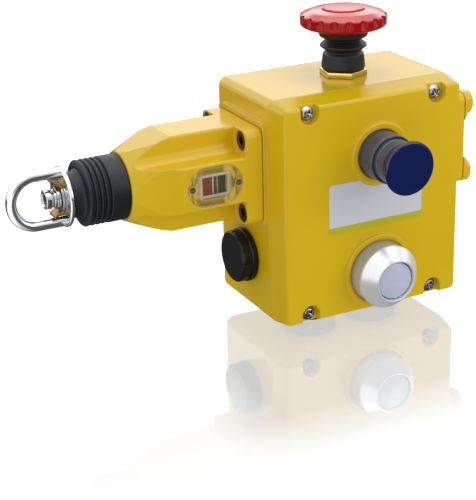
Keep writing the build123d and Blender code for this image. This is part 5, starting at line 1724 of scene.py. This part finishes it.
    def floor_level(self, wire: Wiring, rays: bpy.types.NodeOutputs, place: bpy.types.NodeOutputs) -> Socket:
        """How bright the floor is: its own white to the camera, dimmer as a light and in mirrors.

        In mirrors it has a bright patch at the left front too.

        Args:
            wire: the floor's wiring.
            rays: the kinds of ray.
            place: the floor's own X, Y and Z in metres.

        Returns:
            The level's socket.
        """
        patch = wire.times(self.patch_x.over(wire, place["X"]), self.patch_y.over(wire, place["Y"]),
                           self.left_light - self.floor_mirrored)
        lit = wire.times(rays["Is Diffuse Ray"], self.floor_light)
        mirrored = wire.times(rays["Is Glossy Ray"], wire.plus(patch, self.floor_mirrored))
        shown = wire.times(rays["Is Camera Ray"], self.floor_seen)
        return wire.plus(shown, wire.plus(lit, mirrored))

    def mirror_share(self, wire: Wiring, rays: bpy.types.NodeOutputs, place: bpy.types.NodeOutputs) -> Socket:
        """How much the floor mirrors: share = most·fade(y)·max(across(x), least)·facing.

        It fades forward and to the left of the switch, and where the floor is seen at a low angle. Only
        the camera sees it.

        Args:
            wire: the floor's wiring.
            rays: the kinds of ray.
            place: the floor's own X, Y and Z in metres.

        Returns:
            The share's socket.
        """
        fade = self.mirror_y.over(wire, place["Y"])
        across = wire.maths("MAXIMUM", self.mirror_x.over(wire, place["X"]), self.mirror_least)
        facing = self.mirror_facing.over(wire, wire.add("ShaderNodeLayerWeight").outputs["Facing"])
        return wire.times(fade, across, self.mirror_most, rays["Is Camera Ray"], facing)

    def floor_finish(self) -> bpy.types.Material:
        """The floor's own white, part shaded by the switch, with a share of mirror over it.

        Returns:
            The material.
        """
        made = bpy.data.materials.new("white_floor")
        made.use_nodes = True
        wire = Wiring(made.node_tree)
        wire.tree.nodes.clear()
        rays = wire.add("ShaderNodeLightPath").outputs
        place = wire.axes(wire.reads("Object"))
        kinds = ("ShaderNodeEmission", "ShaderNodeBsdfDiffuse", "ShaderNodeBsdfGlossy")
        glow, matt, gloss = (wire.add(kind) for kind in kinds)
        wire.feed(WHITE, glow.inputs["Color"])
        wire.join(self.floor_level(wire, rays, place), glow.inputs["Strength"])
        wire.feed(self.floor_colour, matt.inputs["Color"])
        wire.feed(self.mirror_roughness, gloss.inputs["Roughness"])
        shaded, seen = (wire.add("ShaderNodeMixShader") for _ in range(2))
        for node, values in (
            (shaded, (self.shadow_share, glow.outputs[0], matt.outputs[0])),
            (seen, (self.mirror_share(wire, rays, place), shaded.outputs[0], gloss.outputs[0])),
        ):
            for value, target in zip(values, node.inputs):
                wire.feed(value, target)
        wire.join(seen.outputs[0], wire.add("ShaderNodeOutputMaterial").inputs["Surface"])
        return made

    def floor(self) -> None:
        """The white floor just below the switch."""
        half, low = self.floor_half, CAD_BOX[0].z - self.floor_gap
        mesh = bpy.data.meshes.new("floor")
        corners = [(sx * half, sy * half, low) for sx, sy in ((-1, -1), (1, -1), (1, 1), (-1, 1))]
        mesh.from_pydata(corners, [], [(0, 1, 2, 3)])
        mesh.materials.append(self.floor_finish())
        linked("floor", mesh)

    def build(self) -> None:
        """Sets up the whole studio."""
        bpy.context.scene.view_settings.view_transform = "Standard"
        self.camera()
        self.surround()
        self.floor()
        self.lamp("overhead", (0.1, 0.1, 1.0), 1.0, 2.0)
        self.lamp("front_right", (0.75, -1.1, 0.55), 0.7, 3.0)


def main() -> None:
    """Builds each sub-assembly in order and reports it."""
    logging.basicConfig(level=logging.INFO, format="%(name)s: %(message)s")
    for kind in (Housing, Snout, RopeEye, MushroomButton, ResetButton, IndicatorLamp, EntryPlugs, Contacts):
        kind().build()
        LOG.info("finished %s", kind.__name__)
    Studio().build()


if __name__ == "__main__":
    main()
